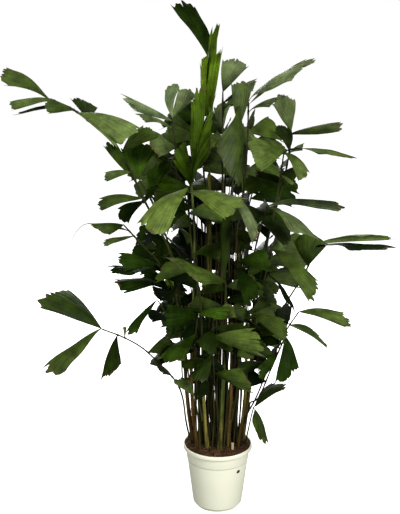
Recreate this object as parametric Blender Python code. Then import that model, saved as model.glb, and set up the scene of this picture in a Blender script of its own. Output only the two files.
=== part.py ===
"""A fishtail palm in a plain nursery pot, standing on its foot ring.

Metres, +Z up. The origin is the middle of the pot's underside. The pot, the soil, each cane and each
frond is one object. A frond is one grown piece: its stalk with all its leaflets.
"""
import math

import bmesh
import bpy
from mathutils import Matrix, Vector
from mathutils.bvhtree import BVHTree

# ------------------------------------------------------------------ driving dimensions, metres
POT_HEIGHT = 0.2285
RIM_RADIUS = 0.120
FOOT_RADIUS = 0.0755
WALL = 0.002
LIP_DEPTH = 0.0145
LIP_OVERHANG = 0.009
LIP_FLAT = 0.005
BAND_DEPTH = 0.040
BAND_STEP = 0.0015
BAND_SLOPE = 0.004
FOOT_HEIGHT = 0.012
FOOT_INSET = 0.0102
FILLET = 0.001
HUB_RADIUS = 0.020
FLOOR_BOTTOM = 0.010
DRAIN_RADIUS = 0.006
DRAIN_CIRCLE = 0.052
DRAIN_COUNT = 6
POT_SIDES = 32

GAP = 0.0003
PLUG_ROOM = 0.0009
STUB_FOOT = (0.048, -0.070)
STUB_RADIUS = 0.0055
STUB_LENGTH = 0.022
SOIL_EDGE = 0.226
SOIL_CROWN = 0.2455
GROUND = 0.216
HOLE_DEPTH = 0.070
LEAF_THICKNESS = 0.0012
NECK_HALF_WIDTH = 0.0012
EDGE_SWELL = 0.03
MARGIN_SWELL = 0.05
BLADE_ARCH = 0.06
FLAT_ANGLE = 0.004
CM = 0.01
MM = 0.001

# Heights of all that grows are counted from the ground level, which lies a little under the mounded soil.
# Each cane: foot (x, y), top (x, y, height), all in centimetres, then its foot's radius in millimetres and
# the colour of its bark.
CANES = {
    "cane_01": ((-8.6, 0.4), (-11.5, 1.5, 47), 8.5, "brown"),
    "cane_02": ((-7.0, -4.0), (-9.0, -5.5, 39), 8.0, "brown"),
    "cane_03": ((-5.2, 3.4), (-8.0, 7.0, 72), 9.0, "olive"),
    "cane_04": ((-3.4, -6.2), (-5.2, -7.4, 32), 7.5, "lime"),
    "cane_05": ((-1.2, -1.0), (-3.2, 1.0, 95), 10.0, "olive"),
    "cane_06": ((0.4, -7.6), (1.8, -8.4, 33), 9.0, "green"),
    "cane_07": ((2.2, 3.2), (1.4, 3.6, 77), 10.0, "brown"),
    "cane_08": ((3.3, -5.4), (4.2, -6.0, 47), 8.5, "brown"),
    "cane_09": ((5.4, -0.8), (6.6, 0.2, 69), 9.5, "brown"),
    "cane_10": ((6.8, -4.6), (9.2, -7.0, 37), 7.5, "olive"),
    "cane_11": ((8.6, 0.8), (12.2, 2.4, 57), 8.5, "olive"),
    "cane_12": ((-1.6, 7.4), (-4.4, 14.5, 69), 8.5, "olive"),
    "cane_13": ((4.2, 7.0), (7.8, 14.0, 61), 8.0, "brown"),
}
CANE_TAPER = 0.62
CANE_BOW = 0.010

# Each frond: where its stalk starts, the stalk's thickness in millimetres, the points that it rises
# through, and its leaflets. Points are in centimetres. A leaflet has its place
# along the stalk's points (0 is the start), its long tip and its short corner.
FRONDS = {
    "frond_crown_back": (("side", "cane_05", 85), 2.9, [(-3, 6, 112), (-2, 6, 130)], [
        (2, (-16, 12, 149), (-7, 4, 148.5))], "dark"),
    "frond_spear": (("top", "cane_05"), 3.4, [(-4, 0, 105), (-3, 0, 117)], [
        (2, (-2, 0, 142), (0.5, 2, 142)),
        (1.8, (-6, 6, 131), (-3, 4, 134)),
        (1.3, (1, -3, 136), (-3, -3, 131))], "bright"),
    "frond_new": (("top", "cane_02"), 3.2, [(-8, -4, 74), (-9, -6, 94)], [
        (1.9, (-15, -10, 102), (-11, -7, 107)),
        (2, (-10, -6, 120), (-4, -2, 124)),
        (1.95, (-2, -3, 122), (-3, -8, 104))], "bright"),
    "frond_crown_right": (("top", "cane_07"), 3.0, [(1, -1, 104), (1, -2, 122)], [
        (2, (1, 0, 132), (9, -3, 130)),
        (1.8, (12, 2, 126), (11, 4, 122)),
        (1.7, (10, 2, 119), (5, 0, 121)),
        (1.3, (-1.7, 2, 117), (3.6, -2, 118))], "grey"),
    "frond_crown_left": (("top", "cane_03"), 3.0, [(-13, -1, 89), (-14, -3, 104), (-15, -4, 114)], [
        (3, (-17, -8, 123), (-13, -2, 124)),
        (3, (-13, 2, 123), (-7, 4, 121)),
        (2.9, (-30, -14, 122), (-27, -12, 117)),
        (2.6, (-26, -12, 116), (-23, -14, 114)),
        (2.05, (-23, -12, 111), (-19, -16, 103))], "grey"),
    "frond_left_dark": (("top", "cane_01"), 2.9, [(-15, 0, 67), (-21, -2, 85), (-26, -4, 95)], [
        (3, (-31, -8, 105), (-20, 0, 103)),
        (2.2, (-22, -6, 98), (-15, 2, 99))], "dark"),
    "frond_left_arm": (("side", "cane_01", 41), 3.4, [
        (-15, -7, 68), (-20, -10, 81), (-24, -13, 90), (-28, -16, 100), (-32, -18, 107),
        (-39, -20, 114), (-44, -22, 118), (-50, -24, 121)], [
        (8, (-62, -30, 125), (-63, -20, 130)),
        (7.8, (-60, -32, 121), (-59, -34, 119)),
        (7.1, (-60, -28, 116), (-54, -22, 119)),
        (6.9, (-51, -27, 121), (-50, -29, 117)),
        (6.1, (-46, -12, 121), (-37, -16, 118)),
        (6.7, (-23, -30, 113), (-30, -34, 109)),
        (3.8, (-35, -22, 99), (-34, -24, 97)),
        (3.6, (-31.4, -22, 108.5), (-34.8, -24, 107.5)),
        (4.6, (-23, -20, 113), (-18, -26, 110)),
        (3, (-37, -20, 91), (-36, -24, 88)),
        (2.9, (-29, -16, 82), (-31, -22, 88))], "mid"),
    "frond_left_mid": (("side", "cane_01", 31), 2.8, [
        (-14, -4, 54), (-19, -8, 67), (-24, -12, 74), (-30, -16, 82)], [
        (4, (-40, -24, 84), (-34, -22, 80)),
        (3.7, (-36, -14, 82), (-35, -15, 81)),
        (3.5, (-36, -20, 77), (-35, -22, 76)),
        (3, (-22, -6, 80), (-18, -6, 78))], "mid"),
    "frond_left_low_mid": (("side", "cane_02", 27), 2.4, [(-12, -8, 47), (-16, -9, 62), (-20, -10, 68)], [
        (3, (-32, -16, 73), (-30, -20, 68)),
        (2.5, (-36, -18, 68), (-28, -22, 67))], "dark"),
    "frond_left_dark_low": (("side", "cane_01", 21), 2.4, [(-13, 0, 43), (-15, -1, 54), (-18, -3, 59)], [
        (3, (-34, -14, 64), (-30, -18, 61)),
        (2.5, (-26, -16, 61), (-22, -10, 64)),
        (2, (-19, -12, 54), (-15, -8, 64))], "dark"),
    "frond_left_lower": (("soil", (-9.4, -3.2)), 2.8, [
        (-11, -4, 11), (-12, -6, 20), (-14, -9, 27), (-18, -12, 33), (-24, -16, 41), (-30, -19, 46),
        (-37, -22, 50)], [
        (7, (-56, -30, 60), (-48, -16, 61)),
        (7, (-55, -26, 38), (-48, -30, 38)),
        (6.3, (-38, -20, 32), (-32, -14, 35)),
        (6, (-31, -18, 49), (-30, -16, 49))], "mid"),
    "frond_left_hanging": (("top", "cane_04"), 2.5, [(-6, -8, 36), (-10, -9, 42), (-16, -9, 49), (-20, -10, 56)], [
        (4, (-30, -16, 47), (-27, -12, 45)),
        (3.2, (-11, -14, 54), (-13, -18, 48))], "dark"),
    "frond_centre_front": (("side", "cane_04", 26), 3.0, [(-6, -11, 55), (-9, -14, 76), (-10, -18, 94)], [
        (3, (-25, -30, 86), (-16, -38, 83)),
        (2.9, (8, -30, 92), (1, -38, 89))], "lit"),
    "frond_centre_droop": (("top", "cane_08"), 3.0, [(3, -6, 78), (5, -7, 101), (6, -10, 118)], [
        (2.6, (3, -8, 125), (10, -6, 124)),
        (3, (6, -22, 93), (-1, -24, 107)),
        (1.5, (10, -26, 78), (12, -20, 82))], "grey"),
    "frond_centre_low": (("top", "cane_06"), 2.8, [(1, -10, 45), (2, -12, 56), (2, -14, 63)], [
        (3, (-16, -28, 75), (-6, -30, 66)),
        (3, (1, -16, 85), (5, -10, 81))], "mid"),
    "frond_right_dark": (("side", "cane_09", 35), 2.8, [(7, -4, 47), (6, -6, 58), (6, -8, 68)], [
        (3, (16, -20, 68), (14, -14, 74)),
        (2.8, (13, -18, 61), (8, -22, 57))], "dark"),
    "frond_right_upper": (("top", "cane_09"), 3.0, [(8, -1, 89), (9, -2, 107), (9, -4, 119)], [
        (3, (26, -14, 132), (21, -20, 126)),
        (2.9, (29, -10, 132), (27, -12, 130)),
        (2.7, (20, -14, 122), (15, -12, 118))], "grey"),
    "frond_right_crown": (("top", "cane_11"), 2.9, [(16, -1, 75), (20, -4, 91), (22, -7, 104), (22, -8, 110)], [
        (4, (15, -12, 119), (24, -4, 120)),
        (3, (17, -4, 110), (22, -12, 111)),
        (3.8, (36, -18, 114), (36, -21, 111)),
        (2.9, (26, -12, 107), (25, -13, 105))], "grey"),
    "frond_right_second": (("side", "cane_11", 45), 2.8, [(14, -5, 65), (18, -8, 88), (20, -10, 104)], [
        (3, (41, -18, 104), (30, -20, 104)),
        (3, (8, -16, 109), (12, -25, 100)),
        (3, (27, -20, 99), (23, -26, 97)),
        (2.5, (23, -14, 95), (22, -16, 94))], "mid"),
    "frond_right_arch": (("side", "cane_09", 43), 2.8, [(9, -7, 58), (12, -9, 75), (15, -11, 87)], [
        (3, (38, -20, 87), (35, -22, 90)),
        (3, (31, -20, 79), (21, -27, 82)),
        (2.5, (22, -8, 81), (21, -14, 74))], "grey"),
    "frond_right_long": (("side", "cane_11", 25), 2.8, [(16, -2, 40), (22, -5, 53), (28, -8, 65), (31, -10, 74)], [
        (3.2, (24, -4, 75), (34, -12, 75)),
        (4, (55, -20, 78), (44, -18, 80)),
        (3.9, (54, -22, 75), (39, -23, 76))], "mid"),
    "frond_right_hanging": (("top", "cane_10"), 2.8, [(11, -8, 49), (14, -9, 60), (17, -10, 73)], [
        (3, (28, -24, 59), (31, -18, 64)),
        (2.4, (25, -16, 54), (21, -20, 57)),
        (3, (20, -6, 76), (22, -4, 71))], "mid"),
    "frond_right_low": (("side", "cane_10", 11), 2.6, [(13, -6, 21), (18, -7, 35), (22, -9, 45), (26, -10, 52)], [
        (4, (42, -20, 49), (40, -14, 53)),
        (3.3, (36, -18, 41), (30, -16, 48)),
        (2.6, (18, -4, 52), (24, -2, 54))], "mid"),
    "frond_middle_left": (("side", "cane_04", 13), 2.6, [(-7, -9, 23), (-8, -10, 38), (-7, -11, 51)], [
        (3, (-17, -18, 50), (-16, -14, 57)),
        (2.5, (-20, -18, 39), (-11, -22, 39)),
        (3, (3, -20, 57), (2, -24, 54))], "dark"),
    "frond_middle": (("side", "cane_06", 13), 2.2, [(-1, -11, 23), (-2, -12, 38), (-2, -13, 50)], [
        (3, (5, -22, 54), (3, -16, 57)),
        (2.7, (-8, -22, 45), (-1, -24, 42)),
        (2.5, (14, -22, 41), (11, -18, 49)),
        (2, (-10, -18, 32), (-4, -21, 32))], "lit"),
    "frond_middle_right": (("side", "cane_08", 13), 2.6, [(6, -9, 23), (7, -10, 38), (10, -12, 52)], [
        (2.6, (13, -20, 36), (6, -22, 37)),
        (3, (21, -22, 45), (21, -16, 51)),
        (3, (13, -10, 56), (17, -9, 54))], "mid"),
    "frond_right_drooping": (("side", "cane_11", 13), 2.5, [(14, -2, 19), (18, -5, 31), (22, -8, 43)], [
        (3, (18, -16, 29), (26.3, -12, 33.3)),
        (2.5, (12, -12, 34), (14, -14, 31))], "dark"),
    "frond_inner_dark": (("side", "cane_05", 53), 2.6, [(-3, 3, 63), (-4, 4, 72), (-3, 5, 76)], [
        (3, (-12, 4, 86), (-4, 6, 90)),
        (2.6, (-13, 3, 76), (-11, 5, 69)),
        (2.8, (4, 5, 85), (7, 4, 77)),
        (2, (-9, 2, 66), (-3, 2, 61)),
        (2.3, (9, 6, 74), (8, 4, 66))], "dark"),
    "frond_right_basal": (("soil", (9.6, -2.8)), 2.5, [(11, -4, 11), (12, -6, 17)], [
        (2, (23, -14, 27), (18, -4, 25)),
        (2, (17.2, -12, 6), (10.2, -16, 15.3))], "mid"),
    "frond_left_basal": (("soil", (-6.2, -7.2)), 2.5, [(-7, -8, 15), (-8, -9, 22)], [
        (2, (-16, -15, 32), (-10, -11, 31)),
        (1.8, (-5, -11, 31), (-3, -11, 25))], "mid"),
}

# The fronds on the far side follow one rule: where the stalk starts, the compass direction in degrees
# (0 is +X), how far it reaches and how high it rises, in centimetres.
FAR_FRONDS = {
    "frond_far_01": (("top", "cane_12"), 104, 10, 46),
    "frond_far_02": (("top", "cane_13"), 74, 11, 48),
    "frond_far_03": (("side", "cane_12", 55), 122, 13, 40),
    "frond_far_04": (("side", "cane_13", 49), 56, 13, 42),
    "frond_far_05": (("side", "cane_03", 61), 140, 12, 38),
    "frond_far_06": (("side", "cane_07", 65), 84, 13, 42),
    "frond_far_07": (("side", "cane_12", 39), 98, 15, 30),
    "frond_far_08": (("side", "cane_13", 33), 76, 16, 28),
    "frond_far_09": (("side", "cane_11", 37), 58, 13, 32),
    "frond_far_10": (("side", "cane_03", 41), 132, 13, 28),
    "frond_far_11": (("side", "cane_12", 23), 112, 15, 22),
    "frond_far_12": (("side", "cane_13", 19), 62, 15, 22),
    "frond_far_13": (("side", "cane_07", 37), 90, 15, 32),
    "frond_far_14": (("side", "cane_05", 69), 112, 13, 40),
}
FAR_STALK = 2.4
FAR_LEAFLETS = ((0.42, 74, 15), (0.50, -70, 15), (0.60, 62, 16), (0.67, -58, 16), (0.76, 22, 15),
                (0.82, 50, 16), (0.90, -46, 16), (1.0, 8, 18))
FAR_TONES = ("dark", "mid", "grey")

# Inside the clump each near frond also carries small shaded leaflets, set round its stalk by the golden
# angle: their places as shares of the stalk's points, their length, how far left and right they may reach,
# and the lowest and highest that they may start.
INNER_PLACES = (0.28, 0.40, 0.52, 0.64, 0.76, 0.88)
INNER_LENGTH = 13
INNER_LIMITS = (-24, 22)
INNER_HEIGHTS = (22, 104)
GOLDEN_ANGLE = math.radians(137.5)

TONES = {
    "dark": (0.020, 0.055, 0.014),
    "mid": (0.045, 0.120, 0.022),
    "lit": (0.095, 0.210, 0.035),
    "grey": (0.070, 0.125, 0.055),
    "bright": (0.060, 0.220, 0.015),
    "brown": (0.110, 0.060, 0.025),
    "olive": (0.120, 0.110, 0.030),
    "lime": (0.260, 0.300, 0.060),
    "green": (0.100, 0.210, 0.030),
}


# ------------------------------------------------------------------ small tools
def clear_scene():
    for thing in list(bpy.data.objects):
        bpy.data.objects.remove(thing, do_unlink=True)


def material(name, colour, roughness):
    mat = bpy.data.materials.new(name)
    mat.use_nodes = True
    shader = mat.node_tree.nodes["Principled BSDF"]
    shader.inputs["Base Color"].default_value = (*colour, 1.0)
    shader.inputs["Roughness"].default_value = roughness
    shader.inputs["Metallic"].default_value = 0.0
    mat.diffuse_color = (*colour, 1.0)
    return mat


def new_object(name, data, mat=None):
    thing = bpy.data.objects.new(name, data)
    bpy.context.scene.collection.objects.link(thing)
    if mat:
        thing.data.materials.clear()
        thing.data.materials.append(mat)
    return thing


def evaluated_mesh(thing):
    depsgraph = bpy.context.evaluated_depsgraph_get()
    return bpy.data.meshes.new_from_object(thing.evaluated_get(depsgraph))


def discard(thing):
    bpy.data.objects.remove(thing, do_unlink=True)


def cut_or_join(thing, others, operation):
    """Applies one exact Boolean for each of the other objects, then removes them."""
    for other in others:
        step = thing.modifiers.new(operation, "BOOLEAN")
        step.operation = operation
        step.solver = "EXACT"
        step.object = other
    mesh = evaluated_mesh(thing)
    thing.modifiers.clear()
    thing.data = mesh
    for other in others:
        discard(other)


def tidy_mesh(mesh, distance=0.000002):
    bm = bmesh.new()
    bm.from_mesh(mesh)
    bmesh.ops.remove_doubles(bm, verts=bm.verts, dist=distance)
    bmesh.ops.dissolve_limit(bm, angle_limit=FLAT_ANGLE, verts=bm.verts, edges=bm.edges)
    bmesh.ops.triangulate(bm, faces=bm.faces)
    bmesh.ops.dissolve_degenerate(bm, edges=bm.edges, dist=distance)
    bm.to_mesh(mesh)
    bm.free()


def tube_mesh(points, radii, ring=1):
    """A closed round bar through the points, made by a bevelled curve with filled ends."""
    curve = bpy.data.curves.new("bar", "CURVE")
    curve.dimensions = "3D"
    curve.bevel_depth = 1.0
    curve.bevel_resolution = ring
    curve.use_fill_caps = True
    line = curve.splines.new("POLY")
    line.points.add(len(points) - 1)
    for spot, point, radius in zip(line.points, points, radii):
        spot.co = (*point, 1.0)
        spot.radius = radius
    bar = new_object("bar", curve)
    mesh = evaluated_mesh(bar)
    discard(bar)
    close_and_face_out(mesh)
    return mesh


def close_and_face_out(mesh):
    bm = bmesh.new()
    bm.from_mesh(mesh)
    bmesh.ops.remove_doubles(bm, verts=bm.verts, dist=0.00001)
    bmesh.ops.recalc_face_normals(bm, faces=bm.faces)
    bm.to_mesh(mesh)
    bm.free()


def spot(point):
    """A point given in centimetres, with its height above the ground level, in the part's own frame."""
    return Vector(point) * CM + Vector((0, 0, GROUND))


def blend(start, end, share):
    return start + (end - start) * share


# ------------------------------------------------------------------ pot and soil
def turned_mesh(profile, sides):
    """Turns a profile of (radius, height) about the Z axis into a closed solid."""
    bm = bmesh.new()
    corners = [bm.verts.new((radius, 0.0, height)) for radius, height in profile]
    edges = [bm.edges.new(pair) for pair in zip(corners, corners[1:])]
    bmesh.ops.spin(bm, geom=corners + edges, cent=(0, 0, 0), axis=(0, 0, 1),
                   angle=math.tau, steps=sides, use_merge=True)
    bmesh.ops.remove_doubles(bm, verts=bm.verts, dist=0.00001)
    bmesh.ops.recalc_face_normals(bm, faces=bm.faces)
    mesh = bpy.data.meshes.new("turned")
    bm.to_mesh(mesh)
    bm.free()
    return mesh


def wall_radius(height):
    """Outer radius of the plain tapering wall at a height above the foot."""
    top = POT_HEIGHT - LIP_DEPTH - BAND_DEPTH
    low = FOOT_RADIUS + FOOT_INSET
    high = RIM_RADIUS - LIP_OVERHANG - BAND_STEP - BAND_SLOPE
    return low + (high - low) * (height - FOOT_HEIGHT) / (top - FOOT_HEIGHT)


def inner_wall():
    """The pot's inner side from its floor to the lip, as (radius, height)."""
    lip_low = POT_HEIGHT - LIP_DEPTH
    band_low = lip_low - BAND_DEPTH
    neck = RIM_RADIUS - LIP_OVERHANG
    return [(FOOT_RADIUS - WALL, FLOOR_BOTTOM + WALL), (wall_radius(FOOT_HEIGHT) - WALL, FOOT_HEIGHT + FILLET),
            (wall_radius(band_low) - WALL, band_low), (neck - WALL, lip_low),
            (RIM_RADIUS - LIP_FLAT, POT_HEIGHT - FILLET)]


def make_pot():
    lip_low = POT_HEIGHT - LIP_DEPTH
    band_low = lip_low - BAND_DEPTH
    wall_top = wall_radius(band_low)
    neck = RIM_RADIUS - LIP_OVERHANG
    outside = [
        (0.0, 0.0), (HUB_RADIUS, 0.0), (HUB_RADIUS, FLOOR_BOTTOM), (FOOT_RADIUS - 2 * WALL, FLOOR_BOTTOM),
        (FOOT_RADIUS - 2 * WALL + FILLET, 0.0), (FOOT_RADIUS, 0.0), (FOOT_RADIUS, FOOT_HEIGHT),
        (wall_radius(FOOT_HEIGHT), FOOT_HEIGHT + FILLET), (wall_top, band_low),
        (wall_top + BAND_STEP, band_low + FILLET), (neck, lip_low), (RIM_RADIUS - FILLET, lip_low),
        (RIM_RADIUS, lip_low + 2 * FILLET), (RIM_RADIUS, POT_HEIGHT - 3 * FILLET),
        (RIM_RADIUS - 2 * FILLET, POT_HEIGHT), (RIM_RADIUS - LIP_FLAT + FILLET, POT_HEIGHT),
    ]
    profile = outside + inner_wall()[::-1] + [(0.0, FLOOR_BOTTOM + WALL)]
    pot = new_object("pot", turned_mesh(profile, POT_SIDES), material("pot_plastic", (0.78, 0.80, 0.66), 0.45))
    drills = []
    for number in range(DRAIN_COUNT):
        turn = Matrix.Rotation(math.tau * (number + 0.5) / DRAIN_COUNT, 4, "Z")
        bm = bmesh.new()
        bmesh.ops.create_cone(bm, cap_ends=True, segments=10, radius1=DRAIN_RADIUS, radius2=DRAIN_RADIUS,
                              depth=0.02, matrix=turn @ Matrix.Translation((DRAIN_CIRCLE, 0, FLOOR_BOTTOM)))
        mesh = bpy.data.meshes.new("drill")
        bm.to_mesh(mesh)
        bm.free()
        drills.append(new_object("drill", mesh))
    cut_or_join(pot, drills, "DIFFERENCE")
    tidy_mesh(pot.data)
    return pot


def soil_height(radius):
    return SOIL_CROWN + (SOIL_EDGE - SOIL_CROWN) * (radius / (RIM_RADIUS - LIP_FLAT)) ** 3


def make_soil(plugs):
    """The root ball: it fills the pot, and each plug leaves the hole that a cane or a stalk stands in."""
    wall = [(radius - GAP * 1.5, height) for radius, height in inner_wall()]
    wall[0] = (wall[0][0], wall[0][1] + GAP)
    (low_radius, low), (high_radius, high) = wall[3], wall[4]
    share = (SOIL_EDGE - low) / (high - low)
    edge_radius = low_radius + (high_radius - low_radius) * share
    profile = [(0.0, wall[0][1])] + wall[:4] + [(edge_radius, SOIL_EDGE)]
    for share in (0.93, 0.85, 0.7, 0.5, 0.25):
        profile.append((edge_radius * share, soil_height(edge_radius * share)))
    profile.append((0.0, SOIL_CROWN))
    soil = new_object("soil", turned_mesh(profile, POT_SIDES), material("bark_soil", (0.055, 0.025, 0.015), 0.95))
    cut_or_join(soil, plugs, "DIFFERENCE")
    tidy_mesh(soil.data)
    return soil


# ------------------------------------------------------------------ canes
def cane_line(name):
    """The cane's middle line from its end in the soil to its top, slightly bowed."""
    foot, top, _radius, _bark = CANES[name]
    foot = spot((*foot, 0))
    top = spot(top)
    side = Vector((foot.x, foot.y, 0)).normalized()
    line = [Vector((foot.x, foot.y, GROUND - HOLE_DEPTH))]
    for share in (0.0, 0.35, 0.7, 1.0):
        line.append(blend(foot, top, share) + side * CANE_BOW * math.sin(math.pi * share))
    return line


def cane_radii(name, extra=0.0):
    radius = CANES[name][2] * MM
    shares = (0.0, 0.0, 0.35, 0.7, 1.0)
    return [radius * (1 - (1 - CANE_TAPER) * share) + extra for share in shares]


def place_on_cane(name, rise):
    """The cane's middle and radius at a height above the ground level in centimetres."""
    height = GROUND + rise * CM
    line, radii = cane_line(name), cane_radii(name)
    for low, high, low_r, high_r in zip(line, line[1:], radii, radii[1:]):
        if low.z <= height <= high.z:
            share = (height - low.z) / (high.z - low.z)
            return blend(low, high, share), low_r + (high_r - low_r) * share
    return line[-1], radii[-1]


def make_canes():
    canes = {}
    for name in CANES:
        bark = CANES[name][3]
        mesh = tube_mesh(cane_line(name), cane_radii(name), ring=2)
        canes[name] = new_object(name, mesh, material(name + "_bark", TONES[bark], 0.6))
        tidy_mesh(canes[name].data)
    return canes


def stub_ends(extra=0.0):
    """The two ends of the cut stub's middle line, the lower one in the soil."""
    foot = Vector((*STUB_FOOT, 0))
    foot.z = soil_height(foot.length)
    return [foot - Vector((0, 0, STUB_LENGTH + extra)), foot + Vector((0.001, 0, STUB_LENGTH))]


def make_stub():
    """The dead stump of a cut cane, which stands on the soil in front."""
    mesh = tube_mesh(stub_ends(), [STUB_RADIUS, STUB_RADIUS], ring=1)
    stub = new_object("cut_stub", mesh, material("cut_cane", (0.48, 0.36, 0.20), 0.8))
    tidy_mesh(stub.data)


# ------------------------------------------------------------------ fronds
def stalk_start(start, toward, radius):
    """The start point of a stalk that leaves a cane's top, a cane's side or the soil."""
    if start[0] == "top":
        line = cane_line(start[1])
        return line[-1] + (line[-1] - line[-2]).normalized() * GAP
    if start[0] == "soil":
        x, y = Vector(start[1]) * CM
        return Vector((x, y, soil_height(math.hypot(x, y)) - 0.03))
    middle, cane_radius = place_on_cane(start[1], start[2])
    out = Vector((toward.x - middle.x, toward.y - middle.y, 0)).normalized()
    return middle + out * (cane_radius + radius + GAP)


def stalk_line(start, points, radius, sway):
    """The stalk's points, pushed aside by the sway, and the number of points before the listed ones."""
    listed = [spot(point) for point in points]
    first = stalk_start(start, listed[0], radius)
    shifted = [point + sway * min(1.0, 0.5 + number * 0.5) for number, point in enumerate(listed)]
    if start[0] == "top":
        line = cane_line(start[1])
        shifted.insert(0, first + (line[-1] - line[-2]).normalized() * 0.015)
    if start[0] == "side":
        middle, _ = place_on_cane(start[1], start[2])
        out = (first - middle).normalized()
        shifted.insert(0, first + out * 0.006 + Vector((0, 0, 0.03)))
    if start[0] == "soil":
        shifted.insert(0, first + Vector((0, 0, 0.035)))
    return [first] + shifted, len(shifted) - len(listed)


def stalk_radii(count, radius):
    return [radius * (1 - 0.45 * number / (count - 1)) for number in range(count)]


def along(line, place):
    """The point at a place counted in whole and part points along the line."""
    low = min(int(place), len(line) - 2)
    return blend(line[low], line[low + 1], place - low)


def leaflet_mesh(base, tip, corner, thickness):
    """A fishtail leaflet: a thin wedge from its neck to a slanting margin, arched along its middle."""
    along_tip, along_corner = tip - base, corner - base
    face = along_tip.cross(along_corner).normalized()
    if face.z < 0:
        face = -face
    middle = (along_tip + along_corner) * 0.5
    across = (along_tip - along_corner).normalized()
    reach = (along_tip.length + along_corner.length) * 0.5
    margin_middle = base + middle.normalized() * reach * (1 + MARGIN_SWELL)
    arch = face * reach * BLADE_ARCH
    rows = [
        [base - across * -NECK_HALF_WIDTH, base + face * 0.0001, base - across * NECK_HALF_WIDTH],
        [base + along_tip * 0.5 + across * reach * EDGE_SWELL + arch, base + middle * 0.55 + arch * 1.5,
         base + along_corner * 0.5 - across * reach * EDGE_SWELL + arch],
        [tip, margin_middle, corner],
    ]
    bm = bmesh.new()
    bmesh.ops.create_grid(bm, x_segments=2, y_segments=2, size=1.0)
    for corner_point in bm.verts:
        row, column = round(corner_point.co.x + 1), round(corner_point.co.y + 1)
        corner_point.co = rows[row][column] - face * thickness * 0.5
    upper = bmesh.ops.extrude_face_region(bm, geom=bm.faces[:])["geom"]
    bmesh.ops.translate(bm, verts=[item for item in upper if isinstance(item, bmesh.types.BMVert)],
                        vec=face * thickness)
    bmesh.ops.triangulate(bm, faces=bm.faces)
    bmesh.ops.recalc_face_normals(bm, faces=bm.faces)
    mesh = bpy.data.meshes.new("leaflet")
    bm.to_mesh(mesh)
    bm.free()
    return mesh


class Room:
    """The space that is taken so far, so that each new piece can be set clear of the others."""

    def __init__(self):
        self.taken = []

    def tree(self, mesh):
        points = [corner.co.copy() for corner in mesh.vertices]
        low = Vector([min(point[axis] for point in points) for axis in range(3)])
        high = Vector([max(point[axis] for point in points) for axis in range(3)])
        return BVHTree.FromPolygons(points, [tuple(face.vertices) for face in mesh.polygons]), low, high

    def take(self, owner, mesh):
        self.taken.append((owner, *self.tree(mesh)))

    def is_free(self, owner, mesh):
        tree, low, high = self.tree(mesh)
        for other_owner, other, other_low, other_high in self.taken:
            if other_owner == owner:
                continue
            if any(low[axis] > other_high[axis] or high[axis] < other_low[axis] for axis in range(3)):
                continue
            if tree.overlap(other):
                return False
        return True


def far_frond(start, heading, reach, rise, tone):
    """A frond of the far side, worked out from its direction, reach and rise."""
    if start[0] == "top":
        foot = Vector(CANES[start[1]][1])
    else:
        foot = (place_on_cane(start[1], start[2])[0] - spot((0, 0, 0))) / CM
    angle = math.radians(heading)
    out = Vector((math.cos(angle), math.sin(angle), 0))
    side = Vector((-out.y, out.x, 0))
    points = []
    for share in (0.34, 0.68, 1.0):
        points.append(foot + out * reach * share ** 1.5 + Vector((0, 0, rise * math.sin(share * 1.45))))
    line = [foot] + points
    leaflets = []
    for place, turn, length in FAR_LEAFLETS:
        base = along(line, place * 3)
        lean = math.radians(turn)
        way = out * math.cos(lean) + side * math.sin(lean)
        wide = out * math.cos(lean * 0.4) + side * math.sin(lean * 0.4)
        tip = base + way * length + Vector((0, 0, -0.28 * length * place))
        corner = base + wide * length * 0.85 + Vector((0, 0, 0.30 * length))
        leaflets.append((place * 3, tip, corner))
    return start, FAR_STALK, points, leaflets, tone


def inner_leaflets(number, points):
    """Small leaflets round a near frond's stalk, where they stay inside the clump."""
    leaflets = []
    for step, share in enumerate(INNER_PLACES):
        place = 1 + (len(points) - 1) * share
        base = along([Vector(point) for point in points], place - 1)
        heading = GOLDEN_ANGLE * (number * len(INNER_PLACES) + step)
        way = Vector((math.cos(heading), abs(math.sin(heading)) + 0.15, 0)).normalized()
        wide = Vector((math.cos(heading + 0.5), abs(math.sin(heading + 0.5)) + 0.15, 0)).normalized()
        tip = base + way * INNER_LENGTH + Vector((0, 0, -0.3 * INNER_LENGTH))
        corner = base + wide * INNER_LENGTH * 0.8 + Vector((0, 0, 0.25 * INNER_LENGTH))
        inside = all(INNER_LIMITS[0] < point.x < INNER_LIMITS[1] for point in (base, tip))
        if inside and INNER_HEIGHTS[0] < base.z < INNER_HEIGHTS[1]:
            leaflets.append((place, tip, corner))
    return leaflets


def all_fronds():
    fronds = {}
    for number, (name, (start, thickness, points, leaflets, tone)) in enumerate(FRONDS.items()):
        fronds[name] = (start, thickness, points, leaflets + inner_leaflets(number, points), tone)
    for number, (name, (start, heading, reach, rise)) in enumerate(FAR_FRONDS.items()):
        fronds[name] = far_frond(start, heading, reach, rise, FAR_TONES[number % 3])
    return fronds


SWAYS = sorted((Vector((x, y, 0)) * 0.008 for x in range(-3, 4) for y in range(-4, 5)), key=lambda way: way.length)
NUDGES = (0.0, -0.03, 0.03, -0.06, 0.06, -0.09)
SIDE_EASES = (-0.0007, -0.0003, 0.0001, 0.0005, 0.0009)
LEANS = tuple(sign * step * 0.015 for step in range(9) for sign in ((1, -1) if step else (1,)))


def make_stalks(fronds, room):
    """Sets every stalk clear of the canes and of the stalks before it."""
    stalks = {}
    for name, (start, thickness, points, _leaflets, tone) in fronds.items():
        radius = thickness * MM
        line, lead = clear_line(name, start, points, radius, room)
        mesh = tube_mesh(line, stalk_radii(len(line), radius), ring=0)
        room.take(name, mesh)
        stalk = new_object(name, mesh, material(name + "_leaf", TONES[tone], 0.45))
        stalks[name] = (stalk, line, lead)
    return stalks


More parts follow.
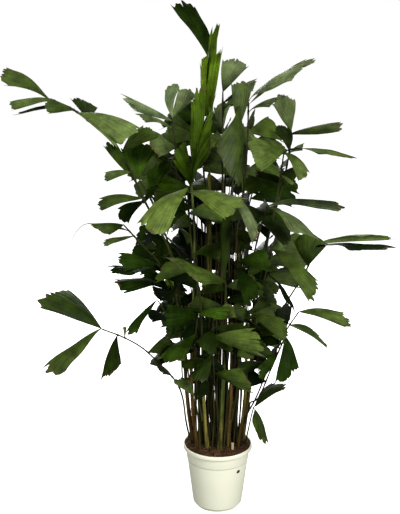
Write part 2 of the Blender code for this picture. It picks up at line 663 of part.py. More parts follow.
def clear_line(name, start, points, radius, room):
    """The first way of the stalk that keeps the gap to everything before it."""
    for sway in SWAYS:
        for ease in SIDE_EASES if start[0] == "side" else (0.0,):
            line, lead = stalk_line(start, points, radius + ease, sway)
            trial = tube_mesh(line, stalk_radii(len(line), radius + GAP), ring=0)
            if room.is_free(name, trial):
                return line, lead
    raise RuntimeError(name + " has no clear way")


def is_closed(mesh):
    bm = bmesh.new()
    bm.from_mesh(mesh)
    closed = len(bm.faces) > 0 and all(edge.is_manifold for edge in bm.edges)
    bm.free()
    return closed


def joined_leaflet(stalk, line, place, tip, corner):
    """Joins one leaflet to the stalk, a little further along if the first place leaves an open edge.

    The stalk stays as it was where no place gives a closed union.
    """
    before = stalk.data
    for nudge in NUDGES:
        base = along(line, min(place + nudge, len(line) - 1.0))
        blade = new_object("blade", leaflet_mesh(base, tip, corner, LEAF_THICKNESS))
        stalk.data = before
        cut_or_join(stalk, [blade], "UNION")
        tidy_mesh(stalk.data)
        if is_closed(stalk.data):
            return
    stalk.data = before


def add_leaflets(fronds, stalks, room):
    """Leans each leaflet towards or away from the front until it is clear, then joins it to its stalk.

    A leaflet that no lean sets clear isn't grown.
    """
    for name, (_start, _thickness, _points, leaflets, _tone) in fronds.items():
        stalk, line, lead = stalks[name]
        for place, tip, corner in leaflets:
            base = along(line, place + lead)
            tip, corner = spot(tip), spot(corner)
            for lean in LEANS:
                shift = Vector((0, lean, 0))
                trial = leaflet_mesh(base, tip + shift, corner + shift, LEAF_THICKNESS + 2 * GAP)
                if room.is_free(name, trial):
                    break
            else:
                continue
            room.take(name, trial)
            joined_leaflet(stalk, line, place + lead, tip + shift, corner + shift)


def make_plugs(fronds):
    """The slightly larger bars that leave room in the soil for each cane and each basal stalk."""
    plugs = []
    for name in CANES:
        line = [point.copy() for point in cane_line(name)[:3]]
        line[0].z -= GAP
        plugs.append(new_object("plug", tube_mesh(line, cane_radii(name, PLUG_ROOM)[:3], ring=2)))
    for start, thickness, points, _leaflets, _tone in fronds.values():
        if start[0] == "soil":
            line, _lead = stalk_line(start, points, thickness * MM, Vector())
            line[0].z -= GAP
            plugs.append(new_object("plug", tube_mesh(line[:3], [thickness * MM + PLUG_ROOM] * 3, ring=1)))
    plugs.append(new_object("plug", tube_mesh(stub_ends(GAP), [STUB_RADIUS + PLUG_ROOM] * 2, ring=1)))
    return plugs


def main():
    clear_scene()
    make_pot()
    fronds = all_fronds()
    canes = make_canes()
    make_stub()
    room = Room()
    for name, cane in canes.items():
        room.take(name, cane.data)
    stalks = make_stalks(fronds, room)
    add_leaflets(fronds, stalks, room)
    make_soil(make_plugs(fronds))
    for thing in bpy.data.objects:
        thing.data.shade_smooth()
        thing.data.set_sharp_from_angle(angle=math.radians(35))


main()
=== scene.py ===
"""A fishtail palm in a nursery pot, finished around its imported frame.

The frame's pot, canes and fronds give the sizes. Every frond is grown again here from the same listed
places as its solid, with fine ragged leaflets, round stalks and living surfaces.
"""
import math
import random

import bmesh
import bpy
from bpy.props import FloatProperty, FloatVectorProperty, IntProperty, PointerProperty
from mathutils import Matrix, Vector, noise
from mathutils.kdtree import KDTree


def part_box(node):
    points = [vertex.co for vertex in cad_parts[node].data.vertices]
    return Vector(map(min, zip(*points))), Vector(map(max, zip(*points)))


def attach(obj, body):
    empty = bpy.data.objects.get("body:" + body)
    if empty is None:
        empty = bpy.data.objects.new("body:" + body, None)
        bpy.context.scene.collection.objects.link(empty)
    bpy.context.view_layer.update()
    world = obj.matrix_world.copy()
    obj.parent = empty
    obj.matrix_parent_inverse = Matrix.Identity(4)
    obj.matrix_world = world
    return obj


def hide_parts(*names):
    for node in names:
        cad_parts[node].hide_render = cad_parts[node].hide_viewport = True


bl_info = {
    "name": "Potted fishtail palm",
    "version": (1, 0, 0),
    "blender": (4, 5, 0),
    "location": "3D View > Sidebar > Palm",
    "description": "Builds a potted fishtail palm around its frame",
    "category": "Add Mesh",
}

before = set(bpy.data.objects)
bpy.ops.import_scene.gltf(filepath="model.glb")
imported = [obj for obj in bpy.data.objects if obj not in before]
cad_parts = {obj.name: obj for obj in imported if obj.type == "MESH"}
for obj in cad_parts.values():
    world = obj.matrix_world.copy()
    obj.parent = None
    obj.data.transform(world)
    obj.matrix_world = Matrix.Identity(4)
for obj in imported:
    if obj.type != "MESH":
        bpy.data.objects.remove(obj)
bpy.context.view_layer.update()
POT_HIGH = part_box("pot")[1]
CM = 0.01
MM = 0.001
WELD = 0.00001

# ------------------------------------------------------------------ how the plant stands
# The soil is lowest at the wall and domed in the middle. Heights in the tables below are measured from the
# ground level, and the canes reach down past it by their holes' depth.
RIM_RADIUS = 0.120
LIP_FLAT = 0.005
SOIL_EDGE = 0.226
SOIL_CROWN = 0.2455
GROUND = 0.216
HOLE_DEPTH = 0.070

# How a stalk leaves its cane or the soil: the air between them, its depth in the soil, and where its first
# bend is, above a cane's top, out from a cane's side and up, and above the soil.
GAP = 0.0003
ROOT_DEPTH = 0.03
TOP_LEAD = 0.015
SIDE_LEAD_OUT, SIDE_LEAD_UP = 0.006, 0.03
SOIL_LEAD = 0.035

# Each cane: foot (x, y), top (x, y, height), all in centimetres, then its foot's radius in millimetres and
# the colour of its bark.
CANES = {
    "cane_01": ((-8.6, 0.4), (-11.5, 1.5, 47), 8.5, "brown"),
    "cane_02": ((-7.0, -4.0), (-9.0, -5.5, 39), 8.0, "brown"),
    "cane_03": ((-5.2, 3.4), (-8.0, 7.0, 72), 9.0, "olive"),
    "cane_04": ((-3.4, -6.2), (-5.2, -7.4, 32), 7.5, "lime"),
    "cane_05": ((-1.2, -1.0), (-3.2, 1.0, 95), 10.0, "olive"),
    "cane_06": ((0.4, -7.6), (1.8, -8.4, 33), 9.0, "green"),
    "cane_07": ((2.2, 3.2), (1.4, 3.6, 77), 10.0, "brown"),
    "cane_08": ((3.3, -5.4), (4.2, -6.0, 47), 8.5, "brown"),
    "cane_09": ((5.4, -0.8), (6.6, 0.2, 69), 9.5, "brown"),
    "cane_10": ((6.8, -4.6), (9.2, -7.0, 37), 7.5, "olive"),
    "cane_11": ((8.6, 0.8), (12.2, 2.4, 57), 8.5, "olive"),
    "cane_12": ((-1.6, 7.4), (-4.4, 14.5, 69), 8.5, "olive"),
    "cane_13": ((4.2, 7.0), (7.8, 14.0, 61), 8.0, "brown"),
}
CANE_TAPER = 0.62
CANE_BOW = 0.010
CANE_SHARES = (0.0, 0.35, 0.7, 1.0)

# Each frond: where its stalk starts, the stalk's thickness in millimetres, the points that it rises through,
# its leaflets and its tone. Points are in centimetres. A leaflet has its place along the stalk's points (0 is
# the start), its long tip and its short corner.
FRONDS = {
    "frond_crown_back": (("side", "cane_05", 85), 2.9, [(-3, 6, 112), (-2, 6, 130)], [
        (2, (-16, 12, 149), (-7, 4, 148.5))], "dark"),
    "frond_spear": (("top", "cane_05"), 3.4, [(-4, 0, 105), (-3, 0, 117)], [
        (2, (-2, 0, 142), (0.5, 2, 142)),
        (1.8, (-6, 6, 131), (-3, 4, 134)),
        (1.3, (1, -3, 136), (-3, -3, 131))], "bright"),
    "frond_new": (("top", "cane_02"), 3.2, [(-8, -4, 74), (-9, -6, 94)], [
        (1.9, (-15, -10, 102), (-11, -7, 107)),
        (2, (-10, -6, 120), (-4, -2, 124)),
        (1.95, (-2, -3, 122), (-3, -8, 104))], "bright"),
    "frond_crown_right": (("top", "cane_07"), 3.0, [(1, -1, 104), (1, -2, 122)], [
        (2, (1, 0, 132), (9, -3, 130)),
        (1.8, (12, 2, 126), (11, 4, 122)),
        (1.7, (10, 2, 119), (5, 0, 121)),
        (1.3, (-1.7, 2, 117), (3.6, -2, 118))], "grey"),
    "frond_crown_left": (("top", "cane_03"), 3.0, [(-13, -1, 89), (-14, -3, 104), (-15, -4, 114)], [
        (3, (-17, -8, 123), (-13, -2, 124)),
        (3, (-13, 2, 123), (-7, 4, 121)),
        (2.9, (-30, -14, 122), (-27, -12, 117)),
        (2.6, (-26, -12, 116), (-23, -14, 114)),
        (2.05, (-23, -12, 111), (-19, -16, 103))], "grey"),
    "frond_left_dark": (("top", "cane_01"), 2.9, [(-15, 0, 67), (-21, -2, 85), (-26, -4, 95)], [
        (3, (-31, -8, 105), (-20, 0, 103)),
        (2.2, (-22, -6, 98), (-15, 2, 99))], "dark"),
    "frond_left_arm": (("side", "cane_01", 41), 3.4, [
        (-15, -7, 68), (-20, -10, 81), (-24, -13, 90), (-28, -16, 100), (-32, -18, 107),
        (-39, -20, 114), (-44, -22, 118), (-50, -24, 121)], [
        (8, (-62, -30, 125), (-63, -20, 130)),
        (7.8, (-60, -32, 121), (-59, -34, 119)),
        (7.1, (-60, -28, 116), (-54, -22, 119)),
        (6.9, (-51, -27, 121), (-50, -29, 117)),
        (6.1, (-46, -12, 121), (-37, -16, 118)),
        (6.7, (-23, -30, 113), (-30, -34, 109)),
        (3.8, (-35, -22, 99), (-34, -24, 97)),
        (3.6, (-31.4, -22, 108.5), (-34.8, -24, 107.5)),
        (4.6, (-23, -20, 113), (-18, -26, 110)),
        (3, (-37, -20, 91), (-36, -24, 88)),
        (2.9, (-29, -16, 82), (-31, -22, 88))], "mid"),
    "frond_left_mid": (("side", "cane_01", 31), 2.8, [
        (-14, -4, 54), (-19, -8, 67), (-24, -12, 74), (-30, -16, 82)], [
        (4, (-40, -24, 84), (-34, -22, 80)),
        (3.7, (-36, -14, 82), (-35, -15, 81)),
        (3.5, (-36, -20, 77), (-35, -22, 76)),
        (3, (-22, -6, 80), (-18, -6, 78))], "mid"),
    "frond_left_low_mid": (("side", "cane_02", 27), 2.4, [(-12, -8, 47), (-16, -9, 62), (-20, -10, 68)], [
        (3, (-32, -16, 73), (-30, -20, 68)),
        (2.5, (-36, -18, 68), (-28, -22, 67))], "dark"),
    "frond_left_dark_low": (("side", "cane_01", 21), 2.4, [(-13, 0, 43), (-15, -1, 54), (-18, -3, 59)], [
        (3, (-34, -14, 64), (-30, -18, 61)),
        (2.5, (-26, -16, 61), (-22, -10, 64)),
        (2, (-19, -12, 54), (-15, -8, 64))], "dark"),
    "frond_left_lower": (("soil", (-9.4, -3.2)), 2.8, [
        (-11, -4, 11), (-12, -6, 20), (-14, -9, 27), (-18, -12, 33), (-24, -16, 41), (-30, -19, 46),
        (-37, -22, 50)], [
        (7, (-56, -30, 60), (-48, -16, 61)),
        (7, (-55, -26, 38), (-48, -30, 38)),
        (6.3, (-38, -20, 32), (-32, -14, 35)),
        (6, (-31, -18, 49), (-30, -16, 49))], "mid"),
    "frond_left_hanging": (("top", "cane_04"), 2.5, [
        (-6, -8, 36), (-10, -9, 42), (-16, -9, 49), (-20, -10, 56)], [
        (4, (-30, -16, 47), (-27, -12, 45)),
        (3.2, (-11, -14, 54), (-13, -18, 48))], "dark"),
    "frond_centre_front": (("side", "cane_04", 26), 3.0, [(-6, -11, 55), (-9, -14, 76), (-10, -18, 94)], [
        (3, (-25, -30, 86), (-16, -38, 83)),
        (2.9, (8, -30, 92), (1, -38, 89))], "lit"),
    "frond_centre_droop": (("top", "cane_08"), 3.0, [(3, -6, 78), (5, -7, 101), (6, -10, 118)], [
        (2.6, (3, -8, 125), (10, -6, 124)),
        (3, (6, -22, 93), (-1, -24, 107)),
        (1.5, (10, -26, 78), (12, -20, 82))], "grey"),
    "frond_centre_low": (("top", "cane_06"), 2.8, [(1, -10, 45), (2, -12, 56), (2, -14, 63)], [
        (3, (-16, -28, 75), (-6, -30, 66)),
        (3, (1, -16, 85), (5, -10, 81))], "mid"),
    "frond_right_dark": (("side", "cane_09", 35), 2.8, [(7, -4, 47), (6, -6, 58), (6, -8, 68)], [
        (3, (16, -20, 68), (14, -14, 74)),
        (2.8, (13, -18, 61), (8, -22, 57))], "dark"),
    "frond_right_upper": (("top", "cane_09"), 3.0, [(8, -1, 89), (9, -2, 107), (9, -4, 119)], [
        (3, (26, -14, 132), (21, -20, 126)),
        (2.9, (29, -10, 132), (27, -12, 130)),
        (2.7, (20, -14, 122), (15, -12, 118))], "grey"),
    "frond_right_crown": (("top", "cane_11"), 2.9, [
        (16, -1, 75), (20, -4, 91), (22, -7, 104), (22, -8, 110)], [
        (4, (15, -12, 119), (24, -4, 120)),
        (3, (17, -4, 110), (22, -12, 111)),
        (3.8, (36, -18, 114), (36, -21, 111)),
        (2.9, (26, -12, 107), (25, -13, 105))], "grey"),
    "frond_right_second": (("side", "cane_11", 45), 2.8, [(14, -5, 65), (18, -8, 88), (20, -10, 104)], [
        (3, (41, -18, 104), (30, -20, 104)),
        (3, (8, -16, 109), (12, -25, 100)),
        (3, (27, -20, 99), (23, -26, 97)),
        (2.5, (23, -14, 95), (22, -16, 94))], "mid"),
    "frond_right_arch": (("side", "cane_09", 43), 2.8, [(9, -7, 58), (12, -9, 75), (15, -11, 87)], [
        (3, (38, -20, 87), (35, -22, 90)),
        (3, (31, -20, 79), (21, -27, 82)),
        (2.5, (22, -8, 81), (21, -14, 74))], "grey"),
    "frond_right_long": (("side", "cane_11", 25), 2.8, [
        (16, -2, 40), (22, -5, 53), (28, -8, 65), (31, -10, 74)], [
        (3.2, (24, -4, 75), (34, -12, 75)),
        (4, (55, -20, 78), (44, -18, 80)),
        (3.9, (54, -22, 75), (39, -23, 76))], "mid"),
    "frond_right_hanging": (("top", "cane_10"), 2.8, [(11, -8, 49), (14, -9, 60), (17, -10, 73)], [
        (3, (28, -24, 59), (31, -18, 64)),
        (2.4, (25, -16, 54), (21, -20, 57)),
        (3, (20, -6, 76), (22, -4, 71))], "mid"),
    "frond_right_low": (("side", "cane_10", 11), 2.6, [
        (13, -6, 21), (18, -7, 35), (22, -9, 45), (26, -10, 52)], [
        (4, (42, -20, 49), (40, -14, 53)),
        (3.3, (36, -18, 41), (30, -16, 48)),
        (2.6, (18, -4, 52), (24, -2, 54))], "mid"),
    "frond_middle_left": (("side", "cane_04", 13), 2.6, [(-7, -9, 23), (-8, -10, 38), (-7, -11, 51)], [
        (3, (-17, -18, 50), (-16, -14, 57)),
        (2.5, (-20, -18, 39), (-11, -22, 39)),
        (3, (3, -20, 57), (2, -24, 54))], "dark"),
    "frond_middle": (("side", "cane_06", 13), 2.2, [(-1, -11, 23), (-2, -12, 38), (-2, -13, 50)], [
        (3, (5, -22, 54), (3, -16, 57)),
        (2.7, (-8, -22, 45), (-1, -24, 42)),
        (2.5, (14, -22, 41), (11, -18, 49)),
        (2, (-10, -18, 32), (-4, -21, 32))], "lit"),
    "frond_middle_right": (("side", "cane_08", 13), 2.6, [(6, -9, 23), (7, -10, 38), (10, -12, 52)], [
        (2.6, (13, -20, 36), (6, -22, 37)),
        (3, (21, -22, 45), (21, -16, 51)),
        (3, (13, -10, 56), (17, -9, 54))], "mid"),
    "frond_right_drooping": (("side", "cane_11", 13), 2.5, [(14, -2, 19), (18, -5, 31), (22, -8, 43)], [
        (3, (18, -16, 29), (26.3, -12, 33.3)),
        (2.5, (12, -12, 34), (14, -14, 31))], "dark"),
    "frond_inner_dark": (("side", "cane_05", 53), 2.6, [(-3, 3, 63), (-4, 4, 72), (-3, 5, 76)], [
        (3, (-12, 4, 86), (-4, 6, 90)),
        (2.6, (-13, 3, 76), (-11, 5, 69)),
        (2.8, (4, 5, 85), (7, 4, 77)),
        (2, (-9, 2, 66), (-3, 2, 61)),
        (2.3, (9, 6, 74), (8, 4, 66))], "dark"),
    "frond_right_basal": (("soil", (9.6, -2.8)), 2.5, [(11, -4, 11), (12, -6, 17)], [
        (2, (23, -14, 27), (18, -4, 25)),
        (2, (17.2, -12, 6), (10.2, -16, 15.3))], "mid"),
    "frond_left_basal": (("soil", (-6.2, -7.2)), 2.5, [(-7, -8, 15), (-8, -9, 22)], [
        (2, (-16, -15, 32), (-10, -11, 31)),
        (1.8, (-5, -11, 31), (-3, -11, 25))], "mid"),
}

# The fronds on the far side follow one rule: where the stalk starts, the compass direction in degrees
# (0 is +X), how far it reaches and how high it rises, in centimetres.
FAR_FRONDS = {
    "frond_far_01": (("top", "cane_12"), 104, 10, 46),
    "frond_far_02": (("top", "cane_13"), 74, 11, 48),
    "frond_far_03": (("side", "cane_12", 55), 122, 13, 40),
    "frond_far_04": (("side", "cane_13", 49), 56, 13, 42),
    "frond_far_05": (("side", "cane_03", 61), 140, 12, 38),
    "frond_far_06": (("side", "cane_07", 65), 84, 13, 42),
    "frond_far_07": (("side", "cane_12", 39), 98, 15, 30),
    "frond_far_08": (("side", "cane_13", 33), 76, 16, 28),
    "frond_far_09": (("side", "cane_11", 37), 58, 13, 32),
    "frond_far_10": (("side", "cane_03", 41), 132, 13, 28),
    "frond_far_11": (("side", "cane_12", 23), 112, 15, 22),
    "frond_far_12": (("side", "cane_13", 19), 62, 15, 22),
    "frond_far_13": (("side", "cane_07", 37), 90, 15, 32),
    "frond_far_14": (("side", "cane_05", 69), 112, 13, 40),
}
FAR_STALK = 2.4
FAR_SHARES = (0.34, 0.68, 1.0)
FAR_CURVE = 1.5
FAR_RISE_TURN = 1.45

# Each leaflet of a far frond: its place as a share of the stalk, its turn away from the frond's direction in
# degrees, and its length. Its tip droops, and its corner is turned less, is nearer and is lifted.
FAR_LEAFLETS = ((0.42, 74, 15), (0.50, -70, 15), (0.60, 62, 16), (0.67, -58, 16), (0.76, 22, 15),
                (0.82, 50, 16), (0.90, -46, 16), (1.0, 8, 18))
FAR_DROOP = 0.28
FAR_CORNER_TURN, FAR_CORNER_REACH, FAR_CORNER_LIFT = 0.4, 0.85, 0.30
FAR_TONES = ("dark", "mid", "grey")

# Inside the clump each near frond also carries small shaded leaflets, set round its stalk by the golden
# angle: their places as shares of the stalk's points, their length, how far left and right they may reach,
# and the lowest and highest that they may start.
INNER_PLACES = (0.28, 0.40, 0.52, 0.64, 0.76, 0.88)
INNER_LENGTH = 13
INNER_LIMITS = (-24, 22)
INNER_HEIGHTS = (22, 104)
INNER_BACKWARD = 0.15
INNER_DROOP = 0.3
INNER_CORNER_TURN, INNER_CORNER_REACH, INNER_CORNER_LIFT = 0.5, 0.8, 0.25
GOLDEN_ANGLE = math.radians(137.5)

# The steps that a stalk may have been swayed by, and a leaflet leant by, to clear its neighbours, the
# smallest first, and how near to its solid's corner a leaflet's tip has to be.
SWAY_STEP = 0.008
LEAN_STEP = 0.015
SWAYS = sorted((Vector((x, y, 0)) * SWAY_STEP for x in range(-3, 4) for y in range(-4, 5)),
               key=lambda way: way.length)
LEANS = tuple(sign * step * LEAN_STEP for step in range(9) for sign in ((1, -1) if step else (1,)))
TIP_FIT = 0.0012


# ------------------------------------------------------------------ small tools
def new_object(name, data):
    """An object of its own in the scene, at the origin."""
    thing = bpy.data.objects.new(name, data)
    bpy.context.scene.collection.objects.link(thing)
    return thing


def evaluated_mesh(thing):
    depsgraph = bpy.context.evaluated_depsgraph_get()
    return bpy.data.meshes.new_from_object(thing.evaluated_get(depsgraph))


def discard(thing):
    bpy.data.objects.remove(thing, do_unlink=True)


def weld(bm, distance):
    """Merges doubled corners and turns every face outwards."""
    bmesh.ops.remove_doubles(bm, verts=bm.verts, dist=distance)
    bmesh.ops.recalc_face_normals(bm, faces=bm.faces)


def tube_mesh(points, radii, ring):
    """A closed round bar through the points, made by a bevelled curve with filled ends."""
    curve = bpy.data.curves.new("bar", "CURVE")
    curve.dimensions = "3D"
    curve.bevel_depth = 1.0
    curve.bevel_resolution = ring
    curve.use_fill_caps = True
    line = curve.splines.new("POLY")
    line.points.add(len(points) - 1)
    for knot, point, radius in zip(line.points, points, radii):
        knot.co = (*point, 1.0)
        knot.radius = radius
    bar = new_object("bar", curve)
    mesh = evaluated_mesh(bar)
    discard(bar)
    bm = bmesh.new()
    bm.from_mesh(mesh)
    weld(bm, WELD)
    bm.to_mesh(mesh)
    bm.free()
    return mesh


def spot(point):
    """A point given in centimetres, with its height above the ground level, in the part's own frame."""
    return Vector(point) * CM + Vector((0, 0, GROUND))


def blend(start, end, share):
    return start + (end - start) * share


def soil_height(radius):
    return SOIL_CROWN + (SOIL_EDGE - SOIL_CROWN) * (radius / (RIM_RADIUS - LIP_FLAT)) ** 3


def cane_line(name):
    """The cane's middle line from its end in the soil to its top, slightly bowed."""
    foot, top, _radius, _bark = CANES[name]
    foot = spot((*foot, 0))
    top = spot(top)
    side = Vector((foot.x, foot.y, 0)).normalized()
    line = [Vector((foot.x, foot.y, GROUND - HOLE_DEPTH))]
    for share in CANE_SHARES:
        line.append(blend(foot, top, share) + side * CANE_BOW * math.sin(math.pi * share))
    return line


def cane_radii(name):
    """The cane's radius at each point of its line."""
    radius = CANES[name][2] * MM
    return [radius * (1 - (1 - CANE_TAPER) * share) for share in (0.0, *CANE_SHARES)]


def place_on_cane(name, rise):
    """The cane's middle and radius at a height above the ground level in centimetres."""
    height = GROUND + rise * CM
    line, radii = cane_line(name), cane_radii(name)
    for low, high, low_r, high_r in zip(line, line[1:], radii, radii[1:]):
        if low.z <= height <= high.z:
            share = (height - low.z) / (high.z - low.z)
            return blend(low, high, share), low_r + (high_r - low_r) * share
    return line[-1], radii[-1]


def stalk_start(start, toward, radius):
    """The start point of a stalk that leaves a cane's top, a cane's side or the soil."""
    if start[0] == "top":
        line = cane_line(start[1])
        return line[-1] + (line[-1] - line[-2]).normalized() * GAP
    if start[0] == "soil":
        x, y = Vector(start[1]) * CM
        return Vector((x, y, soil_height(math.hypot(x, y)) - ROOT_DEPTH))
    middle, cane_radius = place_on_cane(start[1], start[2])
    out = Vector((toward.x - middle.x, toward.y - middle.y, 0)).normalized()
    return middle + out * (cane_radius + radius + GAP)


def stalk_line(start, points, radius, sway):
    """The stalk's points, pushed aside by the sway, and the number of points before the listed ones."""
    listed = [spot(point) for point in points]
    first = stalk_start(start, listed[0], radius)
    shifted = [point + sway * min(1.0, 0.5 + number * 0.5) for number, point in enumerate(listed)]
    if start[0] == "top":
        line = cane_line(start[1])
        shifted.insert(0, first + (line[-1] - line[-2]).normalized() * TOP_LEAD)
    if start[0] == "side":
        middle, _ = place_on_cane(start[1], start[2])
        out = (first - middle).normalized()
        shifted.insert(0, first + out * SIDE_LEAD_OUT + Vector((0, 0, SIDE_LEAD_UP)))
    if start[0] == "soil":
        shifted.insert(0, first + Vector((0, 0, SOIL_LEAD)))
    return [first] + shifted, len(shifted) - len(listed)


def along(line, place):
    """The point at a place counted in whole and part points along the line."""
    low = min(int(place), len(line) - 2)
    return blend(line[low], line[low + 1], place - low)


def far_frond(start, heading, reach, rise, tone):
    """A frond of the far side, worked out from its direction, reach and rise."""
    if start[0] == "top":
        foot = Vector(CANES[start[1]][1])
    else:
        foot = (place_on_cane(start[1], start[2])[0] - spot((0, 0, 0))) / CM
    angle = math.radians(heading)
    out = Vector((math.cos(angle), math.sin(angle), 0))
    side = Vector((-out.y, out.x, 0))
    points = []
    for share in FAR_SHARES:
        lift = Vector((0, 0, rise * math.sin(share * FAR_RISE_TURN)))
        points.append(foot + out * reach * share ** FAR_CURVE + lift)
    line = [foot] + points
    leaflets = []
    for share, turn, length in FAR_LEAFLETS:
        place = share * len(points)
        base = along(line, place)
        lean = math.radians(turn)
        wider = lean * FAR_CORNER_TURN
        way = out * math.cos(lean) + side * math.sin(lean)
        wide = out * math.cos(wider) + side * math.sin(wider)
        tip = base + way * length + Vector((0, 0, -FAR_DROOP * length * share))
        corner = base + wide * length * FAR_CORNER_REACH + Vector((0, 0, FAR_CORNER_LIFT * length))
        leaflets.append((place, tip, corner))
    return start, FAR_STALK, points, leaflets, tone


def backward(heading):
    """A level direction, mirrored to point away from the front."""
    return Vector((math.cos(heading), abs(math.sin(heading)) + INNER_BACKWARD, 0)).normalized()


def inner_leaflets(number, points):
    """Small leaflets round a near frond's stalk, where they stay inside the clump."""
    drop = Vector((0, 0, -INNER_DROOP * INNER_LENGTH))
    rise = Vector((0, 0, INNER_CORNER_LIFT * INNER_LENGTH))
    leaflets = []
    for step, share in enumerate(INNER_PLACES):
        place = 1 + (len(points) - 1) * share
        base = along([Vector(point) for point in points], place - 1)
        heading = GOLDEN_ANGLE * (number * len(INNER_PLACES) + step)
        way, wide = backward(heading), backward(heading + INNER_CORNER_TURN)
        tip = base + way * INNER_LENGTH + drop
        corner = base + wide * INNER_LENGTH * INNER_CORNER_REACH + rise
        inside = all(INNER_LIMITS[0] < point.x < INNER_LIMITS[1] for point in (base, tip))
        if inside and INNER_HEIGHTS[0] < base.z < INNER_HEIGHTS[1]:
            leaflets.append((place, tip, corner))
    return leaflets


def all_fronds():
    """Every near frond with its inner leaflets, and every far one, as listed or worked out."""
    fronds = {}
    for number, (name, (start, thickness, points, leaflets, tone)) in enumerate(FRONDS.items()):
        fronds[name] = (start, thickness, points, leaflets + inner_leaflets(number, points), tone)
    for number, (name, (start, heading, reach, rise)) in enumerate(FAR_FRONDS.items()):
        fronds[name] = far_frond(start, heading, reach, rise, FAR_TONES[number % len(FAR_TONES)])
    return fronds


# How light each listed leaflet of a near frond is painted, where 1 is its tone's own colour: painted light
# and shade, darker for those under others. The leaflets behind the clump are painted darker too, as painted
# shade, and most of those inside it are painted the darkest.
PAINTED_SHADE_BEHIND = 0.5
PAINTED_SHADE_INSIDE = 0.3
PAINTED_LIGHTS = {
    "frond_crown_back": (1.1,),
    "frond_spear": (0.75, 1.3, 1.2),
    "frond_new": (0.40, 0.46, 0.46),
    "frond_crown_right": (0.95, 0.9, 0.7, 1.4),
    "frond_crown_left": (1.8, 1.0, 1.35, 0.8, 0.6),
    "frond_left_dark": (1.8, 1.4),
    "frond_left_arm": (0.5, 0.7, 0.12, 0.45, 0.2, 0.95, 0.9, 0.47, 0.45, 0.42, 0.1),
    "frond_left_mid": (0.5, 0.34, 0.9, 0.03),
    "frond_left_low_mid": (0.65, 0.25),
    "frond_left_dark_low": (0.5, 0.6, 8.0),
    "frond_left_lower": (0.26, 0.55, 0.28, 0.9),
    "frond_left_hanging": (1.0, 0.45),
    "frond_centre_front": (0.60, 0.64),
    "frond_centre_droop": (0.5, 0.33, 1.3),
    "frond_centre_low": (0.58, 0.27),
    "frond_right_dark": (1.0, 0.45),
    "frond_right_upper": (1.2, 1.0, 0.8),
    "frond_right_crown": (0.78, 0.5, 0.5, 1.6),
    "frond_right_second": (0.6, 0.78, 0.75, 1.4),
    "frond_right_arch": (1.1, 0.78, 0.2),
    "frond_right_long": (0.42, 1.8, 0.06),
    "frond_right_hanging": (0.62, 0.05, 1.2),
    "frond_right_low": (0.7, 1.5, 0.06),
    "frond_middle_left": (0.5, 1.1, 3.2),
    "frond_middle": (0.75, 0.1, 0.6, 0.15),
    "frond_middle_right": (0.42, 0.42, 0.25),
    "frond_right_drooping": (0.55, 0.8),
    "frond_inner_dark": (0.01, 0.2, 0.1, 0.05, 1.2),
    "frond_right_basal": (0.27, 0.45),
    "frond_left_basal": (1.4, 0.12),
}


# ------------------------------------------------------------------ reading the frame
def corner_tree(name):
    """A search tree of a solid's corners."""
    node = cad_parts[name]
    corners = [node.matrix_world @ corner.co for corner in node.data.vertices]
    tree = KDTree(len(corners))
    for number, corner in enumerate(corners):
        tree.insert(corner, number)
    tree.balance()
    return tree


def settled_stalk(tree, start, points, radius):
    """The stalk's line with the sway that its solid was built with."""
    def misfit(sway):
        line, _lead = stalk_line(start, points, radius, sway)
        return sum(tree.find(point)[2] for point in line[1:])

    return stalk_line(start, points, radius, min(SWAYS, key=misfit))


def settled_lean(tree, tip):
    """How far a leaflet's solid leans towards or away from the front, or None where it has none."""
    for lean in LEANS:
        shift = Vector((0, lean, 0))
        if tree.find(tip + shift)[2] < TIP_FIT:
            return shift
    return None


def leaflet_light(name, number):
    """How light a frond's leaflet is painted, as painted light and shade, by its number among the listed and
    inner ones.
    """
    if name in PAINTED_LIGHTS:
        return PAINTED_LIGHTS[name][number] if number < len(PAINTED_LIGHTS[name]) else PAINTED_SHADE_INSIDE
    return PAINTED_SHADE_BEHIND if number < len(FAR_LEAFLETS) else PAINTED_SHADE_INSIDE


def grown_fronds():
    """Every frond as its solid stands: the stalk's line and radius, its leaflets and its tone."""
    grown = {}
    for name, (start, thickness, points, leaflets, tone) in all_fronds().items():
        tree = corner_tree(name)
        radius = thickness * MM
        line, lead = settled_stalk(tree, start, points, radius)
        kept = []
        for number, (place, tip, corner) in enumerate(leaflets):
            shift = settled_lean(tree, spot(tip))
            if shift is not None:
                light = leaflet_light(name, number)
                kept.append((place + lead, spot(tip) + shift, spot(corner) + shift, light))
        grown[name] = (line, radius, kept, tone)
    return grown


# ------------------------------------------------------------------ settings a user may change
class PotSettings(bpy.types.PropertyGroup):
    rim_radius: FloatProperty(name="Rim radius", description="Outer radius of the rolled lip",
                              default=POT_HIGH.x, unit="LENGTH")
    height: FloatProperty(name="Height", description="Height of the pot", default=POT_HIGH.z, unit="LENGTH")
    steps: IntProperty(name="Steps", description="Steps round the pot", default=96, min=24)
    colour: FloatVectorProperty(name="Colour", description="Colour of the plastic", subtype="COLOR", size=3,
                                default=(0.74, 0.745, 0.58), min=0, max=1)


class SoilSettings(bpy.types.PropertyGroup):
    chips: IntProperty(name="Bark chips", description="Number of loose bark chips", default=420, min=0)
    chip_length: FloatProperty(name="Chip length", description="Mean length of a chip", default=0.0095,
                               unit="LENGTH")
    colour: FloatVectorProperty(name="Colour", description="Colour of the damp bark", subtype="COLOR", size=3,
                                default=(0.036, 0.016, 0.005), min=0, max=1)


class CaneSettings(bpy.types.PropertyGroup):
    joint_spacing: FloatProperty(name="Joint spacing", default=0.075, unit="LENGTH",
                                 description="Distance between the rings of old sheaths")
    thin_stalks: IntProperty(name="Thin stalks", description="Number of slender stalks between the canes",
                             default=96, min=0)
    ring: FloatProperty(name="Ring", description="How far a ring stands out, as a share of the radius",
                        default=0.13)


